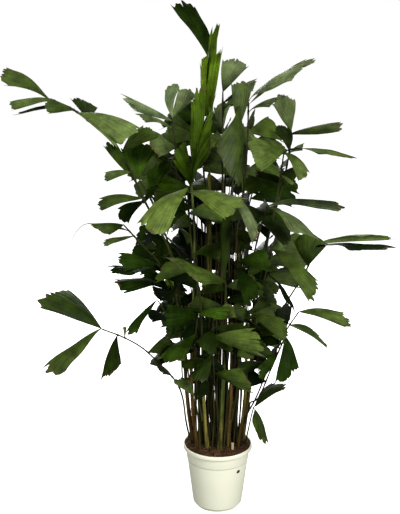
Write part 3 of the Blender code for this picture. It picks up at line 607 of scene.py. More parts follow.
class LeafSettings(bpy.types.PropertyGroup):
    thickness: FloatProperty(name="Thickness", description="Thickness of a leaflet", default=0.0007,
                             unit="LENGTH")
    pleat: FloatProperty(name="Pleat", description="Depth of the folds between the veins", default=0.0005,
                         unit="LENGTH")
    tooth: FloatProperty(name="Tooth", description="Depth of the margin's teeth, as a share of the length",
                         default=0.075)
    along: IntProperty(name="Rows", description="Rows of faces along a leaflet", default=13, min=4)
    across: IntProperty(name="Columns", description="Columns of faces across a leaflet", default=26, min=8)


class StageSettings(bpy.types.PropertyGroup):
    eye: FloatVectorProperty(name="Camera", description="Where the camera stands", size=3,
                             default=(-0.062, -2.84, 1.576), unit="LENGTH")
    pitch: FloatProperty(name="Pitch", description="How far the camera looks down",
                         default=math.radians(13.5), unit="ROTATION")
    lens: FloatProperty(name="Lens", description="Focal length in millimetres", default=61.6)
    key_power: FloatProperty(name="Key light", description="Power of the large soft light in watts",
                             default=240.0)
    ambient: FloatProperty(name="Ambient", description="Strength of the light from all round", default=0.25)
    top_power: FloatProperty(name="Top light", description="Power of the light from above in watts",
                             default=70.0)
    fill_power: FloatProperty(name="Fill light", description="Power of the weaker side light in watts",
                              default=105.0)
    back_power: FloatProperty(name="Back light", description="Power of the light from behind in watts",
                              default=110.0)


SETTINGS = {
    "palm_pot": PotSettings,
    "palm_soil": SoilSettings,
    "palm_cane": CaneSettings,
    "palm_leaf": LeafSettings,
    "palm_stage": StageSettings,
}


# ------------------------------------------------------------------ material tools
class Recipe:
    """A short way to write a Principled material: adds nodes, links them and gives their outputs."""

    def __init__(self, name, roughness, specular):
        self.material = bpy.data.materials.new(name)
        self.material.use_nodes = True
        self.tree = self.material.node_tree
        self.shader = self.tree.nodes["Principled BSDF"]
        self.shader.inputs["Roughness"].default_value = roughness
        self.shader.inputs["Specular IOR Level"].default_value = specular

    def add(self, kind, inputs=None, **settings):
        """A new node, with its settings, and each input given a value or another node's output."""
        node = self.tree.nodes.new(kind)
        for key, value in settings.items():
            setattr(node, key, value)
        for key, value in (inputs or {}).items():
            if isinstance(value, bpy.types.NodeSocket):
                self.tree.links.new(value, node.inputs[key])
            else:
                node.inputs[key].default_value = value
        return node

    def object_space(self, scale=(1, 1, 1)):
        """Places on the object, in metres, stretched by the scale."""
        place = self.add("ShaderNodeTexCoord")
        return self.add("ShaderNodeMapping", {"Vector": place.outputs["Object"], "Scale": scale}).outputs[0]

    def height(self):
        return self.add("ShaderNodeSeparateXYZ", {"Vector": self.object_space()}).outputs["Z"]

    def noise(self, scale, detail=3.0, space=None):
        space = space or self.object_space()
        return self.add("ShaderNodeTexNoise", {"Vector": space, "Scale": scale, "Detail": detail,
                                               "Roughness": 0.55}).outputs["Fac"]

    def ramp(self, value, stops):
        """A colour ramp with the stops' places and colours."""
        node = self.add("ShaderNodeValToRGB", {"Fac": value})
        ramp = node.color_ramp
        while len(ramp.elements) < len(stops):
            ramp.elements.new(0.5)
        for element, (place, colour) in zip(ramp.elements, stops):
            element.position = place
            element.color = (*colour, 1.0)
        return node.outputs["Color"]

    def mix(self, share, first, second, blend_type="MIX"):
        """Two colours mixed, each a value or another node's output."""
        node = self.add("ShaderNodeMix", data_type="RGBA", blend_type=blend_type)
        for socket, value in ((node.inputs[0], share), (node.inputs[6], first), (node.inputs[7], second)):
            if isinstance(value, bpy.types.NodeSocket):
                self.tree.links.new(value, socket)
            elif isinstance(value, (int, float)):
                socket.default_value = value
            else:
                socket.default_value = (*value, 1.0)
        return node.outputs[2]

    def math(self, operation, first, second=0.0, third=0.0):
        node = self.add("ShaderNodeMath", operation=operation)
        for socket, value in zip(node.inputs, (first, second, third)):
            if isinstance(value, bpy.types.NodeSocket):
                self.tree.links.new(value, socket)
            else:
                socket.default_value = value
        return node.outputs[0]

    def bump(self, height, distance, strength):
        node = self.add("ShaderNodeBump", {"Height": height, "Distance": distance, "Strength": strength})
        self.tree.links.new(node.outputs[0], self.shader.inputs["Normal"])

    def colour(self, value):
        self.tree.links.new(value, self.shader.inputs["Base Color"])

    def roughness(self, value):
        self.tree.links.new(value, self.shader.inputs["Roughness"])


LOOK_LAYER = "leaf_look"
FAN_LAYER = "fan"
FINE_VEINS = 3.7
VEINS_PER_PLEAT = 1.5
DRY_EDGE = 0.955


def scaled(colour, factor):
    return tuple(channel * factor for channel in colour)


def grime_line(recipe, height, reach, strength):
    """How much painted shade darkens a line round the pot at a height."""
    away = recipe.math("ABSOLUTE", recipe.math("SUBTRACT", recipe.height(), height))
    line = recipe.ramp(away, [(0.4 * reach, (1, 1, 1)), (reach, (0, 0, 0))])
    return recipe.math("MULTIPLY", line, strength)


def plastic_material(colour):
    """Matt moulded plastic, faintly clouded and grained, with soil dust and three lines of painted shade
    round it.

    The painted shade lies under the lip, under the band and on the foot ring: its height, its reach and its
    strength.
    """
    recipe = Recipe("pot_plastic_finish", 0.5, 0.4)
    cloud = recipe.noise(7.0, 4.0)
    tint = recipe.ramp(cloud, [(0.3, scaled(colour, 0.94)), (0.7, colour)])
    dust = recipe.noise(60.0, 6.0)
    specks = recipe.ramp(dust, [(0.66, (0, 0, 0)), (0.76, (1, 1, 1))])
    dust_and_shade = recipe.mix(recipe.math("MULTIPLY", specks, 0.22), tint, scaled(colour, 0.55))
    lip_low = POT_HIGH.z - LIP_DEPTH
    # Painted shade: darker lines under the lip, under the band and on the foot ring.
    for height, reach, strength in ((lip_low - FILLET, 0.0016, 0.5), (lip_low - BAND_DEPTH, 0.0016, 0.65),
                                    (FOOT_HEIGHT / 2, 0.0032, 0.6)):
        dust_and_shade = recipe.mix(grime_line(recipe, height, reach, strength), dust_and_shade, scaled(colour, 0.45))
    recipe.colour(dust_and_shade)
    recipe.roughness(recipe.math("MULTIPLY_ADD", cloud, 0.2, 0.38))
    recipe.bump(recipe.noise(420.0, 2.0), 0.0002, 0.35)
    return recipe.material


def soil_material(colour):
    """Damp bark and peat: dark red-brown, with paler fibres."""
    recipe = Recipe("bark_soil_finish", 0.95, 0.2)
    lumps = recipe.noise(95.0, 6.0)
    recipe.colour(recipe.ramp(lumps, [(0.30, scaled(colour, 0.25)), (0.52, colour),
                                      (0.68, scaled(colour, 2.6)), (0.80, (0.30, 0.20, 0.11))]))
    recipe.bump(lumps, 0.004, 0.9)
    return recipe.material


def chip_material(colour):
    """Loose bark: each chip darker or lighter than the next, and grained."""
    recipe = Recipe("bark_chip_finish", 0.9, 0.25)
    grain = recipe.noise(160.0, 5.0, recipe.object_space((1, 1, 3)))
    patches = recipe.noise(38.0, 2.0)
    base = recipe.ramp(patches, [(0.34, scaled(colour, 0.25)), (0.5, scaled(colour, 1.4)),
                                 (0.60, scaled(colour, 4.5)), (0.70, (0.30, 0.14, 0.05))])
    recipe.colour(recipe.mix(grain, scaled(colour, 0.4), base))
    recipe.bump(grain, 0.001, 0.8)
    return recipe.material


def bark_material(name, low, high):
    """A cane's skin: the fibrous low colour fading into the smooth high colour, streaked along its length."""
    recipe = Recipe(name, 0.62, 0.15)
    streaks = recipe.noise(120.0, 5.0, recipe.object_space((1.0, 1.0, 0.06)))
    patches = recipe.noise(16.0, 3.0, recipe.object_space((1.0, 1.0, 0.5)))
    rise = recipe.math("MULTIPLY", recipe.math("SUBTRACT", recipe.height(), GROUND), 2.2)
    share = recipe.math("ADD", rise, recipe.math("SUBTRACT", patches, 0.5))
    fade = recipe.ramp(share, [(0.15, (0, 0, 0)), (0.65, (1, 1, 1))])
    base = recipe.mix(fade, low, high)
    shadow = recipe.ramp(streaks, [(0.36, (0.30, 0.27, 0.22)), (0.60, (1.2, 1.15, 1.05))])
    recipe.colour(recipe.mix(1.0, base, shadow, "MULTIPLY"))
    recipe.roughness(recipe.math("MULTIPLY_ADD", streaks, 0.3, 0.42))
    recipe.bump(streaks, 0.0012, 0.8)
    return recipe.material


def stalk_material(name, low, high):
    """A thin stalk: smooth, brown-green, slightly mottled."""
    recipe = Recipe(name, 0.55, 0.12)
    patches = recipe.noise(40.0, 4.0, recipe.object_space((1, 1, 0.3)))
    recipe.colour(recipe.ramp(patches, [(0.35, low), (0.65, high)]))
    recipe.bump(recipe.noise(300.0, 2.0, recipe.object_space((1, 1, 0.1))), 0.0004, 0.5)
    return recipe.material


def leaf_material(name, colour, roughness, shine, veins):
    """A waxy leaflet: mottled green, with a fan of faint veins from its neck, and duller on one side.

    The look layer holds how light the leaflet is painted, 1 on its duller side, and the place along the
    blade. The duller side is partly its own duller colour and partly painted shade. Painted shade also
    darkens each leaflet towards its neck, a leaflet in painted shade loses red and blue as it darkens, and
    the margin's edge is dry in places.
    """
    recipe = Recipe(name, roughness, shine)
    look = recipe.add("ShaderNodeAttribute", attribute_name=LOOK_LAYER).outputs["Color"]
    light, dull_and_shaded, along_blade = recipe.add("ShaderNodeSeparateColor", {"Color": look}).outputs
    fan = recipe.add("ShaderNodeUVMap", uv_map=FAN_LAYER).outputs["UV"]
    across = recipe.add("ShaderNodeSeparateXYZ", {"Vector": fan}).outputs["X"]
    ribs = recipe.math("SINE", recipe.math("MULTIPLY", across, math.tau * veins))
    fine = recipe.math("SINE", recipe.math("MULTIPLY", across, math.tau * veins * FINE_VEINS))
    veined = recipe.math("MULTIPLY_ADD", fine, 0.35, ribs)
    stretched = recipe.add("ShaderNodeMapping", {"Vector": fan, "Scale": (22.0, 2.2, 1.0)}).outputs[0]
    streak = recipe.noise(1.0, 3.0, stretched)
    mottle = recipe.noise(24.0, 4.0)
    blotch = recipe.math("MULTIPLY_ADD", recipe.math("SUBTRACT", streak, 0.5), 0.55, mottle)
    tone = recipe.math("MULTIPLY_ADD", veined, 0.03, blotch)
    top = recipe.ramp(tone, [(0.28, scaled(colour, 0.45)), (0.50, colour), (0.74, scaled(colour, 1.7))])
    # The duller side: partly its own duller colour, partly painted shade.
    body = recipe.mix(dull_and_shaded, top, recipe.mix(1.0, top, (0.74, 0.80, 0.85), "MULTIPLY"))
    # Painted shade: each leaflet is painted darker towards its neck.
    light = recipe.math("MULTIPLY", light, recipe.math("MULTIPLY_ADD", along_blade, 0.34, 0.80))
    # Painted shade: a leaflet painted darker loses red and, more, blue.
    shadowed = recipe.math("MINIMUM", light, 1.0)
    tint = recipe.add("ShaderNodeCombineColor", {
        "Red": recipe.math("MULTIPLY", light, recipe.math("POWER", shadowed, 0.2)), "Green": light,
        "Blue": recipe.math("MULTIPLY", light, shadowed)}).outputs[0]
    shaded = recipe.mix(1.0, body, tint, "MULTIPLY")
    age = recipe.math("MULTIPLY", recipe.math("GREATER_THAN", along_blade, DRY_EDGE),
                      recipe.math("GREATER_THAN", recipe.noise(22.0, 2.0), 0.58))
    recipe.colour(recipe.mix(recipe.math("MULTIPLY", age, 0.75), shaded, (0.060, 0.040, 0.018)))
    recipe.roughness(recipe.math("MULTIPLY_ADD", mottle, 0.25, roughness - 0.1))
    recipe.bump(recipe.math("MULTIPLY_ADD", fine, 0.3, ribs), 0.0002, 0.6)
    return recipe.material


# Each leaf tone: its colour, its roughness and how strongly it mirrors. Each bark: its colour at the foot and
# at the top.
# The dark and lit tones are darker and lighter greens: partly the leaves' own colour, partly painted shade
# and painted light.
LEAF_TONES = {
    "dark": ((0.014, 0.030, 0.002), 0.50, 0.028),
    "mid": ((0.060, 0.086, 0.020), 0.48, 0.07),
    "lit": ((0.100, 0.136, 0.031), 0.50, 0.09),
    "grey": ((0.067, 0.088, 0.034), 0.42, 0.084),
    "bright": ((0.064, 0.106, 0.005), 0.44, 0.042),
}
BARK_TONES = {
    "brown": ((0.080, 0.044, 0.009), (0.105, 0.062, 0.014)),
    "olive": ((0.080, 0.055, 0.010), (0.100, 0.095, 0.014)),
    "lime": ((0.150, 0.130, 0.028), (0.170, 0.185, 0.035)),
    "green": ((0.085, 0.080, 0.018), (0.065, 0.120, 0.014)),
}


def leaf_materials():
    return {tone: leaf_material("leaf_" + tone + "_finish", *look, PLEATS[tone] * VEINS_PER_PLEAT)
            for tone, look in LEAF_TONES.items()}


# ------------------------------------------------------------------ piece tools
def finish_piece(thing, slot, *nodes):
    """Fixes a piece to the part's one body, and hides the solids that it replaces. The slot is not used."""
    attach(thing, "root")
    if nodes:
        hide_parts(*nodes)


def smooth_shaded(mesh):
    mesh.shade_smooth()
    mesh.set_sharp_from_angle(angle=math.radians(40))


def object_from(bm, name, materials):
    """Turns a finished bmesh into an object with its materials."""
    mesh = bpy.data.meshes.new(name)
    bm.to_mesh(mesh)
    bm.free()
    smooth_shaded(mesh)
    for material in materials:
        mesh.materials.append(material)
    return new_object(name, mesh)


def smooth_place(line, place):
    """A point on the smooth curve through the line's points, at a place counted in points."""
    low = min(int(place), len(line) - 2)
    share = place - low
    before = line[max(low - 1, 0)]
    start, end = line[low], line[low + 1]
    after = line[min(low + 2, len(line) - 1)]
    leave, arrive = (end - before) * 0.5, (after - start) * 0.5
    if low == 0:
        leave = end - start
    if low == len(line) - 2:
        arrive = end - start
    square, cube = share * share, share ** 3
    return (start * (2 * cube - 3 * square + 1) + leave * (cube - 2 * square + share)
            + end * (3 * square - 2 * cube) + arrive * (cube - square))


def smooth_line(line, steps):
    count = (len(line) - 1) * steps
    return [smooth_place(line, number / steps) for number in range(count + 1)]


# ------------------------------------------------------------------ pot
POT_WALL = 0.002
LIP_DEPTH = 0.0145
LIP_OVERHANG = 0.009
BAND_DEPTH = 0.040
BAND_STEP = 0.0015
BAND_SLOPE = 0.004
FOOT_RADIUS = 0.0755
FOOT_HEIGHT = 0.012
FOOT_INSET = 0.0102
FILLET = 0.001
HUB_RADIUS = 0.020
FLOOR_BOTTOM = 0.010
GROOVE = 0.0011
EDGE_ROUND = 0.0012
DRAIN_HOLES = 6
DRAIN_RADIUS = 0.006
DRAIN_CIRCLE = 0.052
DOT_TURN = math.radians(42)
DOT_HEIGHT = 0.155
DOT_HALF_TURN = 0.075
DOT_HALF_HEIGHT = 0.0062
DOT_PROUD = 0.0005


def rounded(profile, radius, steps=3):
    """The profile with each corner between its ends replaced by a short arc."""
    points = [Vector(profile[0])]
    for before, corner, after in zip(profile, profile[1:], profile[2:]):
        corner, back, ahead = Vector(corner), Vector(before), Vector(after)
        cut = min(radius, (back - corner).length * 0.45, (ahead - corner).length * 0.45)
        start = corner + (back - corner).normalized() * cut
        end = corner + (ahead - corner).normalized() * cut
        for step in range(steps + 1):
            share = step / steps
            points.append(start * (1 - share) ** 2 + corner * 2 * share * (1 - share) + end * share ** 2)
    points.append(Vector(profile[-1]))
    return points


def pot_profile(settings):
    """The wall's outline, up the outside from the hub under the floor, over the lip and down the inside."""
    rim, top = settings.rim_radius, settings.height
    lip_low = top - LIP_DEPTH
    band_low = lip_low - BAND_DEPTH
    neck = rim - LIP_OVERHANG
    wall_top = neck - BAND_STEP - BAND_SLOPE
    wall_low = FOOT_RADIUS + FOOT_INSET
    floor_top = FLOOR_BOTTOM + POT_WALL
    return [
        (0.0, 0.0), (HUB_RADIUS, 0.0), (HUB_RADIUS, FLOOR_BOTTOM), (FOOT_RADIUS - 2 * POT_WALL, FLOOR_BOTTOM),
        (FOOT_RADIUS - 2 * POT_WALL + FILLET, 0.0), (FOOT_RADIUS, 0.0), (FOOT_RADIUS, FOOT_HEIGHT),
        (wall_low, FOOT_HEIGHT + FILLET), (wall_top, band_low - 2 * GROOVE),
        (wall_top - GROOVE, band_low - GROOVE), (wall_top + BAND_STEP, band_low + FILLET),
        (neck, lip_low - 2 * GROOVE), (neck - GROOVE, lip_low),
        (rim - FILLET, lip_low), (rim, lip_low + 2 * FILLET), (rim, top - 3 * FILLET),
        (rim - 2 * FILLET, top), (rim - LIP_FLAT + FILLET, top), (rim - LIP_FLAT, top - FILLET),
        (neck - POT_WALL, lip_low), (wall_top - POT_WALL, band_low),
        (wall_low - POT_WALL, FOOT_HEIGHT + FILLET), (FOOT_RADIUS - POT_WALL, floor_top), (0.0, floor_top),
    ]


def spun(points, steps):
    """The outline turned round the pot's axis."""
    bm = bmesh.new()
    corners = [bm.verts.new((point[0], 0.0, point[1])) for point in points]
    edges = [bm.edges.new(pair) for pair in zip(corners, corners[1:])]
    bmesh.ops.spin(bm, geom=corners + edges, cent=(0, 0, 0), axis=(0, 0, 1), angle=math.tau, steps=steps,
                   use_merge=True)
    weld(bm, 2 * WELD)
    return bm


def wall_point(angle, height, proud):
    """A point on the plain wall at an angle from the front, in radians, and a height."""
    top = POT_HIGH.z - LIP_DEPTH - BAND_DEPTH
    low = FOOT_RADIUS + FOOT_INSET
    high = POT_HIGH.x - LIP_OVERHANG - BAND_STEP - BAND_SLOPE
    radius = low + (high - low) * (height - FOOT_HEIGHT) / (top - FOOT_HEIGHT) + proud
    return Vector((math.sin(angle) * radius, -math.cos(angle) * radius, height))


def drain_cut(shell):
    """Drills the round drainage holes through the floor."""
    cutters = []
    for number in range(DRAIN_HOLES):
        turn = Matrix.Rotation(math.tau * (number + 0.5) / DRAIN_HOLES, 4, "Z")
        bm = bmesh.new()
        bmesh.ops.create_cone(bm, cap_ends=True, segments=24, radius1=DRAIN_RADIUS, radius2=DRAIN_RADIUS,
                              depth=0.02, matrix=turn @ Matrix.Translation((DRAIN_CIRCLE, 0, FLOOR_BOTTOM)))
        cutters.append(object_from(bm, "drill", []))
        step = shell.modifiers.new("drain", "BOOLEAN")
        step.operation = "DIFFERENCE"
        step.solver = "EXACT"
        step.object = cutters[-1]
    shell.data = evaluated_mesh(shell)
    shell.modifiers.clear()
    for cutter in cutters:
        discard(cutter)


def wall_dot():
    """The small dark spot on the wall, a round face of its own just proud of the plastic."""
    bm = bmesh.new()
    dot = bmesh.ops.create_circle(bm, cap_ends=True, segments=16, radius=1.0)["verts"]
    for corner in dot:
        turn, height = DOT_TURN + corner.co.x * DOT_HALF_TURN, DOT_HEIGHT + corner.co.y * DOT_HALF_HEIGHT
        corner.co = wall_point(turn, height, DOT_PROUD)
    bmesh.ops.solidify(bm, geom=bm.faces[:], thickness=-0.0001)
    bmesh.ops.recalc_face_normals(bm, faces=bm.faces)
    return bm


class PALM_OT_pot(bpy.types.Operator):
    """Turns the nursery pot with its rolled lip, band, foot ring, drainage holes and small dark spot"""
    bl_idname = "palm.pot"
    bl_label = "Pot"

    def execute(self, context):
        settings = context.scene.palm_pot
        profile = rounded(pot_profile(settings), EDGE_ROUND)
        shell = object_from(spun(profile, settings.steps), "pot_shell", [plastic_material(settings.colour)])
        drain_cut(shell)
        smooth_shaded(shell.data)
        finish_piece(shell, "pot_plastic", "pot")
        ink = Recipe("print_ink", 0.6, 0.3)
        ink.colour(ink.ramp(ink.noise(500.0, 2.0), [(0.3, (0.008, 0.008, 0.008)), (0.7, (0.03, 0.03, 0.03))]))
        finish_piece(object_from(wall_dot(), "pot_dot", [ink.material]), "pot_plastic")
        return {"FINISHED"}


# ------------------------------------------------------------------ soil
BIG_LUMP, SMALL_LUMP = 0.0012, 0.0007
SOIL_SINK = 0.0005
CHIP_MARGIN = 0.003
CHIP_EDGE = 0.0005
CHIP_RAGGED = 0.10


def soil_surface(x, y):
    """Height of the uneven top of the soil."""
    big = math.sin(x * 130 + 1.2) * math.cos(y * 115) * BIG_LUMP
    small = math.sin(x * 310) * math.sin(y * 290) * SMALL_LUMP
    return soil_height(math.hypot(x, y)) + (big + small) - SOIL_SINK


class PALM_OT_soil(bpy.types.Operator):
    """Fills the pot with bark soil and scatters loose bark chips over it"""
    bl_idname = "palm.soil"
    bl_label = "Soil"

    def execute(self, context):
        settings = context.scene.palm_soil
        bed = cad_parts["soil"]
        bed.data.materials.clear()
        bed.data.materials.append(soil_material(settings.colour))
        chips = object_from(self.chips(settings), "bark_chips", [chip_material(settings.colour)])
        finish_piece(chips, "bark_soil")
        return {"FINISHED"}

    def chips(self, settings):
        """Small ragged blocks, tilted and half sunk at random places."""
        draw = random.Random(7)
        bm = bmesh.new()
        inner = RIM_RADIUS - LIP_FLAT - CHIP_MARGIN
        for _chip in range(settings.chips):
            radius = inner * math.sqrt(draw.random())
            angle = draw.uniform(0, math.tau)
            x, y = radius * math.cos(angle), radius * math.sin(angle)
            length = settings.chip_length * draw.uniform(0.5, 1.5)
            width, height = length * draw.uniform(0.3, 0.7), length * draw.uniform(0.12, 0.3)
            size = Matrix.Diagonal((length, width, height, 1))
            roll = Matrix.Rotation(draw.uniform(-0.5, 0.5), 4, "X")
            pitch = Matrix.Rotation(draw.uniform(-0.4, 0.4), 4, "Y")
            turn = Matrix.Rotation(draw.uniform(0, math.tau), 4, "Z")
            lift = Matrix.Translation((x, y, soil_surface(x, y) + draw.uniform(-0.0005, 0.0035)))
            place = lift @ turn @ (roll @ pitch) @ size
            for corner in bmesh.ops.create_cube(bm, size=1.0, matrix=place)["verts"]:
                corner.co += Vector([draw.uniform(-1, 1) for _ in range(3)]) * length * CHIP_RAGGED
        bmesh.ops.bevel(bm, geom=bm.edges[:], offset=CHIP_EDGE, offset_type="OFFSET", segments=1, profile=0.5,
                        affect="EDGES", material=-1)
        return bm


# ------------------------------------------------------------------ canes
CANE_STEPS = 34
FURROW = 0.00035
STUB_INSET = 0.0005
THIN_REACH = 0.080
THIN_ROOT = 0.03
THIN_SPREAD = (1.05, 1.45)
THIN_TOPS = (0.40, 0.98)
THIN_BEND = 0.014
THIN_RADII = (0.0020, 0.0036)


def ringed_radii(name, count, settings):
    """Radii along a cane: it tapers, and swells under the ring of each old sheath."""
    line = cane_line(name)
    length = sum((b - a).length for a, b in zip(line, line[1:]))
    cane_number = int(name[-2:])
    spacing = settings.joint_spacing * (0.8 + 0.05 * (cane_number % 6))
    foot = CANES[name][2] * MM
    radii = []
    for number in range(count):
        share = number / (count - 1)
        phase = (share * length / spacing + 0.13 * cane_number) % 1.0
        swell = 1 + settings.ring * (phase ** 6) - 0.05 * (1 - phase) ** 8
        radii.append(foot * (1 - (1 - CANE_TAPER) * share) * swell)
    return radii


class PALM_OT_canes(bpy.types.Operator):
    """Grows the ringed canes, the slender old stalks between them and the pale cut stub"""
    bl_idname = "palm.canes"
    bl_label = "Canes"

    def execute(self, context):
        settings = context.scene.palm_cane
        barks = {tone: bark_material("bark_" + tone + "_finish", low, high)
                 for tone, (low, high) in BARK_TONES.items()}
        for name, (_foot, _top, _radius, bark) in CANES.items():
            line = smooth_line(cane_line(name), CANE_STEPS)
            mesh = tube_mesh(line, ringed_radii(name, len(line), settings), 5)
            self.flute(mesh, name)
            self.add_piece(name + "_stem", mesh, barks[bark], "bark_" + bark, name)
        self.stub()
        thin = stalk_material("thin_stalk_finish", (0.011, 0.012, 0.003), (0.040, 0.036, 0.010))
        finish_piece(object_from(self.thin_stalks(settings.thin_stalks), "thin_stalks", [thin]), "bark_olive")
        return {"FINISHED"}

    def thin_stalks(self, count):
        """Slender old stalks that rise between the canes and end among the leaves."""
        draw = random.Random(3)
        bm = bmesh.new()
        for number in range(count):
            angle, radius = number * GOLDEN_ANGLE, THIN_REACH * math.sqrt((number + 0.5) / count)
            foot = Vector((radius * math.cos(angle), radius * math.sin(angle), SOIL_CROWN - THIN_ROOT))
            top = foot * draw.uniform(*THIN_SPREAD)
            top.z = GROUND + draw.uniform(*THIN_TOPS)
            bend = Vector((draw.uniform(-THIN_BEND, THIN_BEND), draw.uniform(-THIN_BEND, THIN_BEND), 0))
            low, high = blend(foot, top, 0.35) + bend, blend(foot, top, 0.7) - bend * 0.4
            line = smooth_line([foot, low, high, top], 5)
            thick = draw.uniform(*THIN_RADII)
            radii = [thick * (1 - 0.5 * step / (len(line) - 1)) for step in range(len(line))]
            bm.from_mesh(tube_mesh(line, radii, 1))
        return bm

    def flute(self, mesh, name):
        """Presses shallow lengthwise furrows into the skin, as dry sheath fibres leave."""
        line = cane_line(name)
        for corner in mesh.vertices:
            height = corner.co.z
            share = min(max((height - line[1].z) / (line[-1].z - line[1].z), 0.0), 1.0)
            middle = blend(line[1], line[-1], share)
            away = Vector((corner.co.x - middle.x, corner.co.y - middle.y, 0))
            turn = math.atan2(away.y, away.x)
            ripple = math.sin(turn * 7 + height * 9) * 0.5 + math.sin(turn * 11 - height * 23) * 0.5
            corner.co += away.normalized() * ripple * FURROW

    def add_piece(self, name, mesh, material, slot, node):
        mesh.name = name
        mesh.materials.clear()
        mesh.materials.append(material)
        mesh.shade_smooth()
        finish_piece(new_object(name, mesh), slot, node)

    def stub(self):
        """The short stump of a cut cane, slightly worn round its top."""
        low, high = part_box("cut_stub")
        middle = (low + high) * 0.5
        radius = (high.x - low.x) * 0.46
        foot = Vector((middle.x, middle.y, low.z))
        top = Vector((middle.x + STUB_INSET, middle.y, high.z - STUB_INSET))
        line = [blend(foot, top, share) for share in (0, 0.3, 0.6, 0.85, 0.97, 1.0)]
        mesh = tube_mesh(line, [radius * share for share in (1, 1.03, 0.97, 1.0, 0.98, 0.86)], 6)
        wood = Recipe("cut_wood_finish", 0.8, 0.25)
        grain = wood.noise(260.0, 5.0, wood.object_space((1, 1, 0.15)))
        wood.colour(wood.ramp(grain, [(0.3, (0.20, 0.13, 0.06)), (0.65, (0.52, 0.42, 0.27))]))
        wood.bump(grain, 0.0008, 0.8)
        self.add_piece("cut_stub_wood", mesh, wood.material, "cut_wood", "cut_stub")


# ------------------------------------------------------------------ fronds
NECK_HALF_WIDTH = 0.0012
EDGE_SWELL = 0.03
MARGIN_SWELL = 0.05
BLADE_ARCH = 0.06
MIDDLE_ARCH = 0.03
RUFFLE = 0.020
CRUMPLE, FINE_CRUMPLE = 0.0045, 0.0016
SLIT_CHANCE = 0.07
STALK_STEPS = 10
STALK_FOOT, STALK_TAPER = 1.22, 0.40
CLASP_SWELL = 0.35
NECK_SWELL = 0.45
TENDRIL_FROND = "frond_left_mid"
TENDRIL_RADII = (0.0011, 0.0006)

# How many folds a leaflet of each tone has across it, and how deep they are beside the usual ones.
PLEATS = {"dark": 8, "mid": 8, "lit": 9, "grey": 8, "bright": 7}
PLEAT_FACTOR = {"dark": 1.0, "mid": 1.0, "lit": 0.9, "grey": 1.0, "bright": 2.6}

# Where a leaflet's margin draws in: how far, the place from its corner (-1) to its tip (1), and how wide.
MARGIN_DIPS = ((0.9, 0.84, 0.22), (0.4, -0.9, 0.15))


def margin_cuts(draw, columns):
    """How far each column of a leaflet falls short of its full length.

    Pointed teeth of uneven width and depth lean towards the long tip on a slowly wandering margin, a few
    slits run deeper, and the margin draws in beside the tip and the corner.
    """
    turn, pace = draw.uniform(0, math.tau), draw.uniform(1.2, 2.6)
    cuts = [0.3 + 0.3 * math.sin(turn + pace * math.tau * column / columns) for column in range(columns + 1)]
    cuts[0] = cuts[-1] = 0.0
    column = 1
    while column < columns:
        width, depth = draw.randint(1, 4), 0.9 * draw.random() ** 2
        for step in range(min(width, columns - column)):
            cuts[column + step] += depth * (1 - step / width)
        if draw.random() < SLIT_CHANCE:
            cuts[column] += draw.uniform(0.6, 1.5)
        column += width
    for column in range(1, columns):
        side = column / columns * 2 - 1
        for depth, place, width in MARGIN_DIPS:
            cuts[column] += depth * max(0.0, 1 - abs(side - place) / width)
    return cuts


class Fan:
    """The lines that a leaflet is shaped by: its two edges, its face's direction and its bowed margin."""

    def __init__(self, base, tip, corner):
        self.base = base
        self.to_tip, self.to_corner = tip - base, corner - base
        face = self.to_tip.cross(self.to_corner).normalized()
        self.face = -face if face.z < 0 else face
        self.middle = (self.to_tip + self.to_corner) * 0.5
        self.half = (self.to_tip - self.to_corner) * 0.5
        self.across = self.half.normalized()
        self.reach = (self.to_tip.length + self.to_corner.length) * 0.5
        self.bow = self.middle.normalized() * self.reach * (1 + MARGIN_SWELL) - self.middle

    def point(self, outward, side, cut):
        """A place on the flat fan: outward from the neck, and across from the corner's to the tip's edge."""
        margin = self.middle + self.half * side + self.bow * (1 - side * side)
        swell = 4 * outward * (1 - outward)
        spread = self.reach * EDGE_SWELL * swell + NECK_HALF_WIDTH * (1 - outward)
        return self.base + margin * outward * (1 - cut * outward ** 3) + self.across * side * spread


def fishtail(bm, layers, fan, settings, draw, tone, light):
    """Adds one leaflet: a fan from its neck to a ragged slanting margin, pleated, arched and gently waved."""
    pleat, pleats = settings.pleat * PLEAT_FACTOR[tone], PLEATS[tone]
    cuts = margin_cuts(draw, settings.across)
    wave, phase = draw.uniform(0.6, 1.4), draw.uniform(0, math.tau)
    curl, twist = draw.uniform(-0.03, 0.05), draw.uniform(-0.05, 0.05)
    # Painted light and shade: how light the leaflet is painted, varied a little at random, kept in the look
    # layer.
    shade = light * draw.uniform(0.9, 1.1)
    grid = bmesh.ops.create_grid(bm, x_segments=settings.along, y_segments=settings.across, size=1.0)["verts"]
    faces = list({near for point in grid for near in point.link_faces})
    for point in grid:
        outward, side = (point.co.x + 1) * 0.5, point.co.y
        column = round((side + 1) * 0.5 * settings.across)
        swell = 4 * outward * (1 - outward)
        square = side * side
        lift = (BLADE_ARCH + MIDDLE_ARCH * (1 - square)) * swell + curl * outward * (0.3 - square)
        ruffle = RUFFLE * math.sin(math.tau * wave * outward + phase) * square + twist * side * outward ** 2
        fold = pleat * min(1.0, outward * 1.6) * (math.cos(math.pi * pleats * side)
                                                  + 0.5 * math.cos(math.pi * pleats * 0.62 * side + phase))
        flat = fan.point(outward, side, settings.tooth * cuts[column])
        crumple = CRUMPLE * noise.noise(flat * 17) + FINE_CRUMPLE * noise.noise(flat * 50)
        point.co = flat + fan.face * (fan.reach * (lift + ruffle) + fold + crumple * outward)
        point[layers["look"]] = Vector((shade, 0.0, outward, 1.0))
        for loop in point.link_loops:
            loop[layers["fan"]].uv = ((side + 1) * 0.5, outward)
    # The new side is marked as the duller side, which the material paints darker, partly as painted shade.
    for item in bmesh.ops.solidify(bm, geom=faces, thickness=settings.thickness)["geom"]:
        if isinstance(item, bmesh.types.BMVert):
            look = item[layers["look"]]
            item[layers["look"]] = Vector((look.x, 1.0, look.z, 1.0))


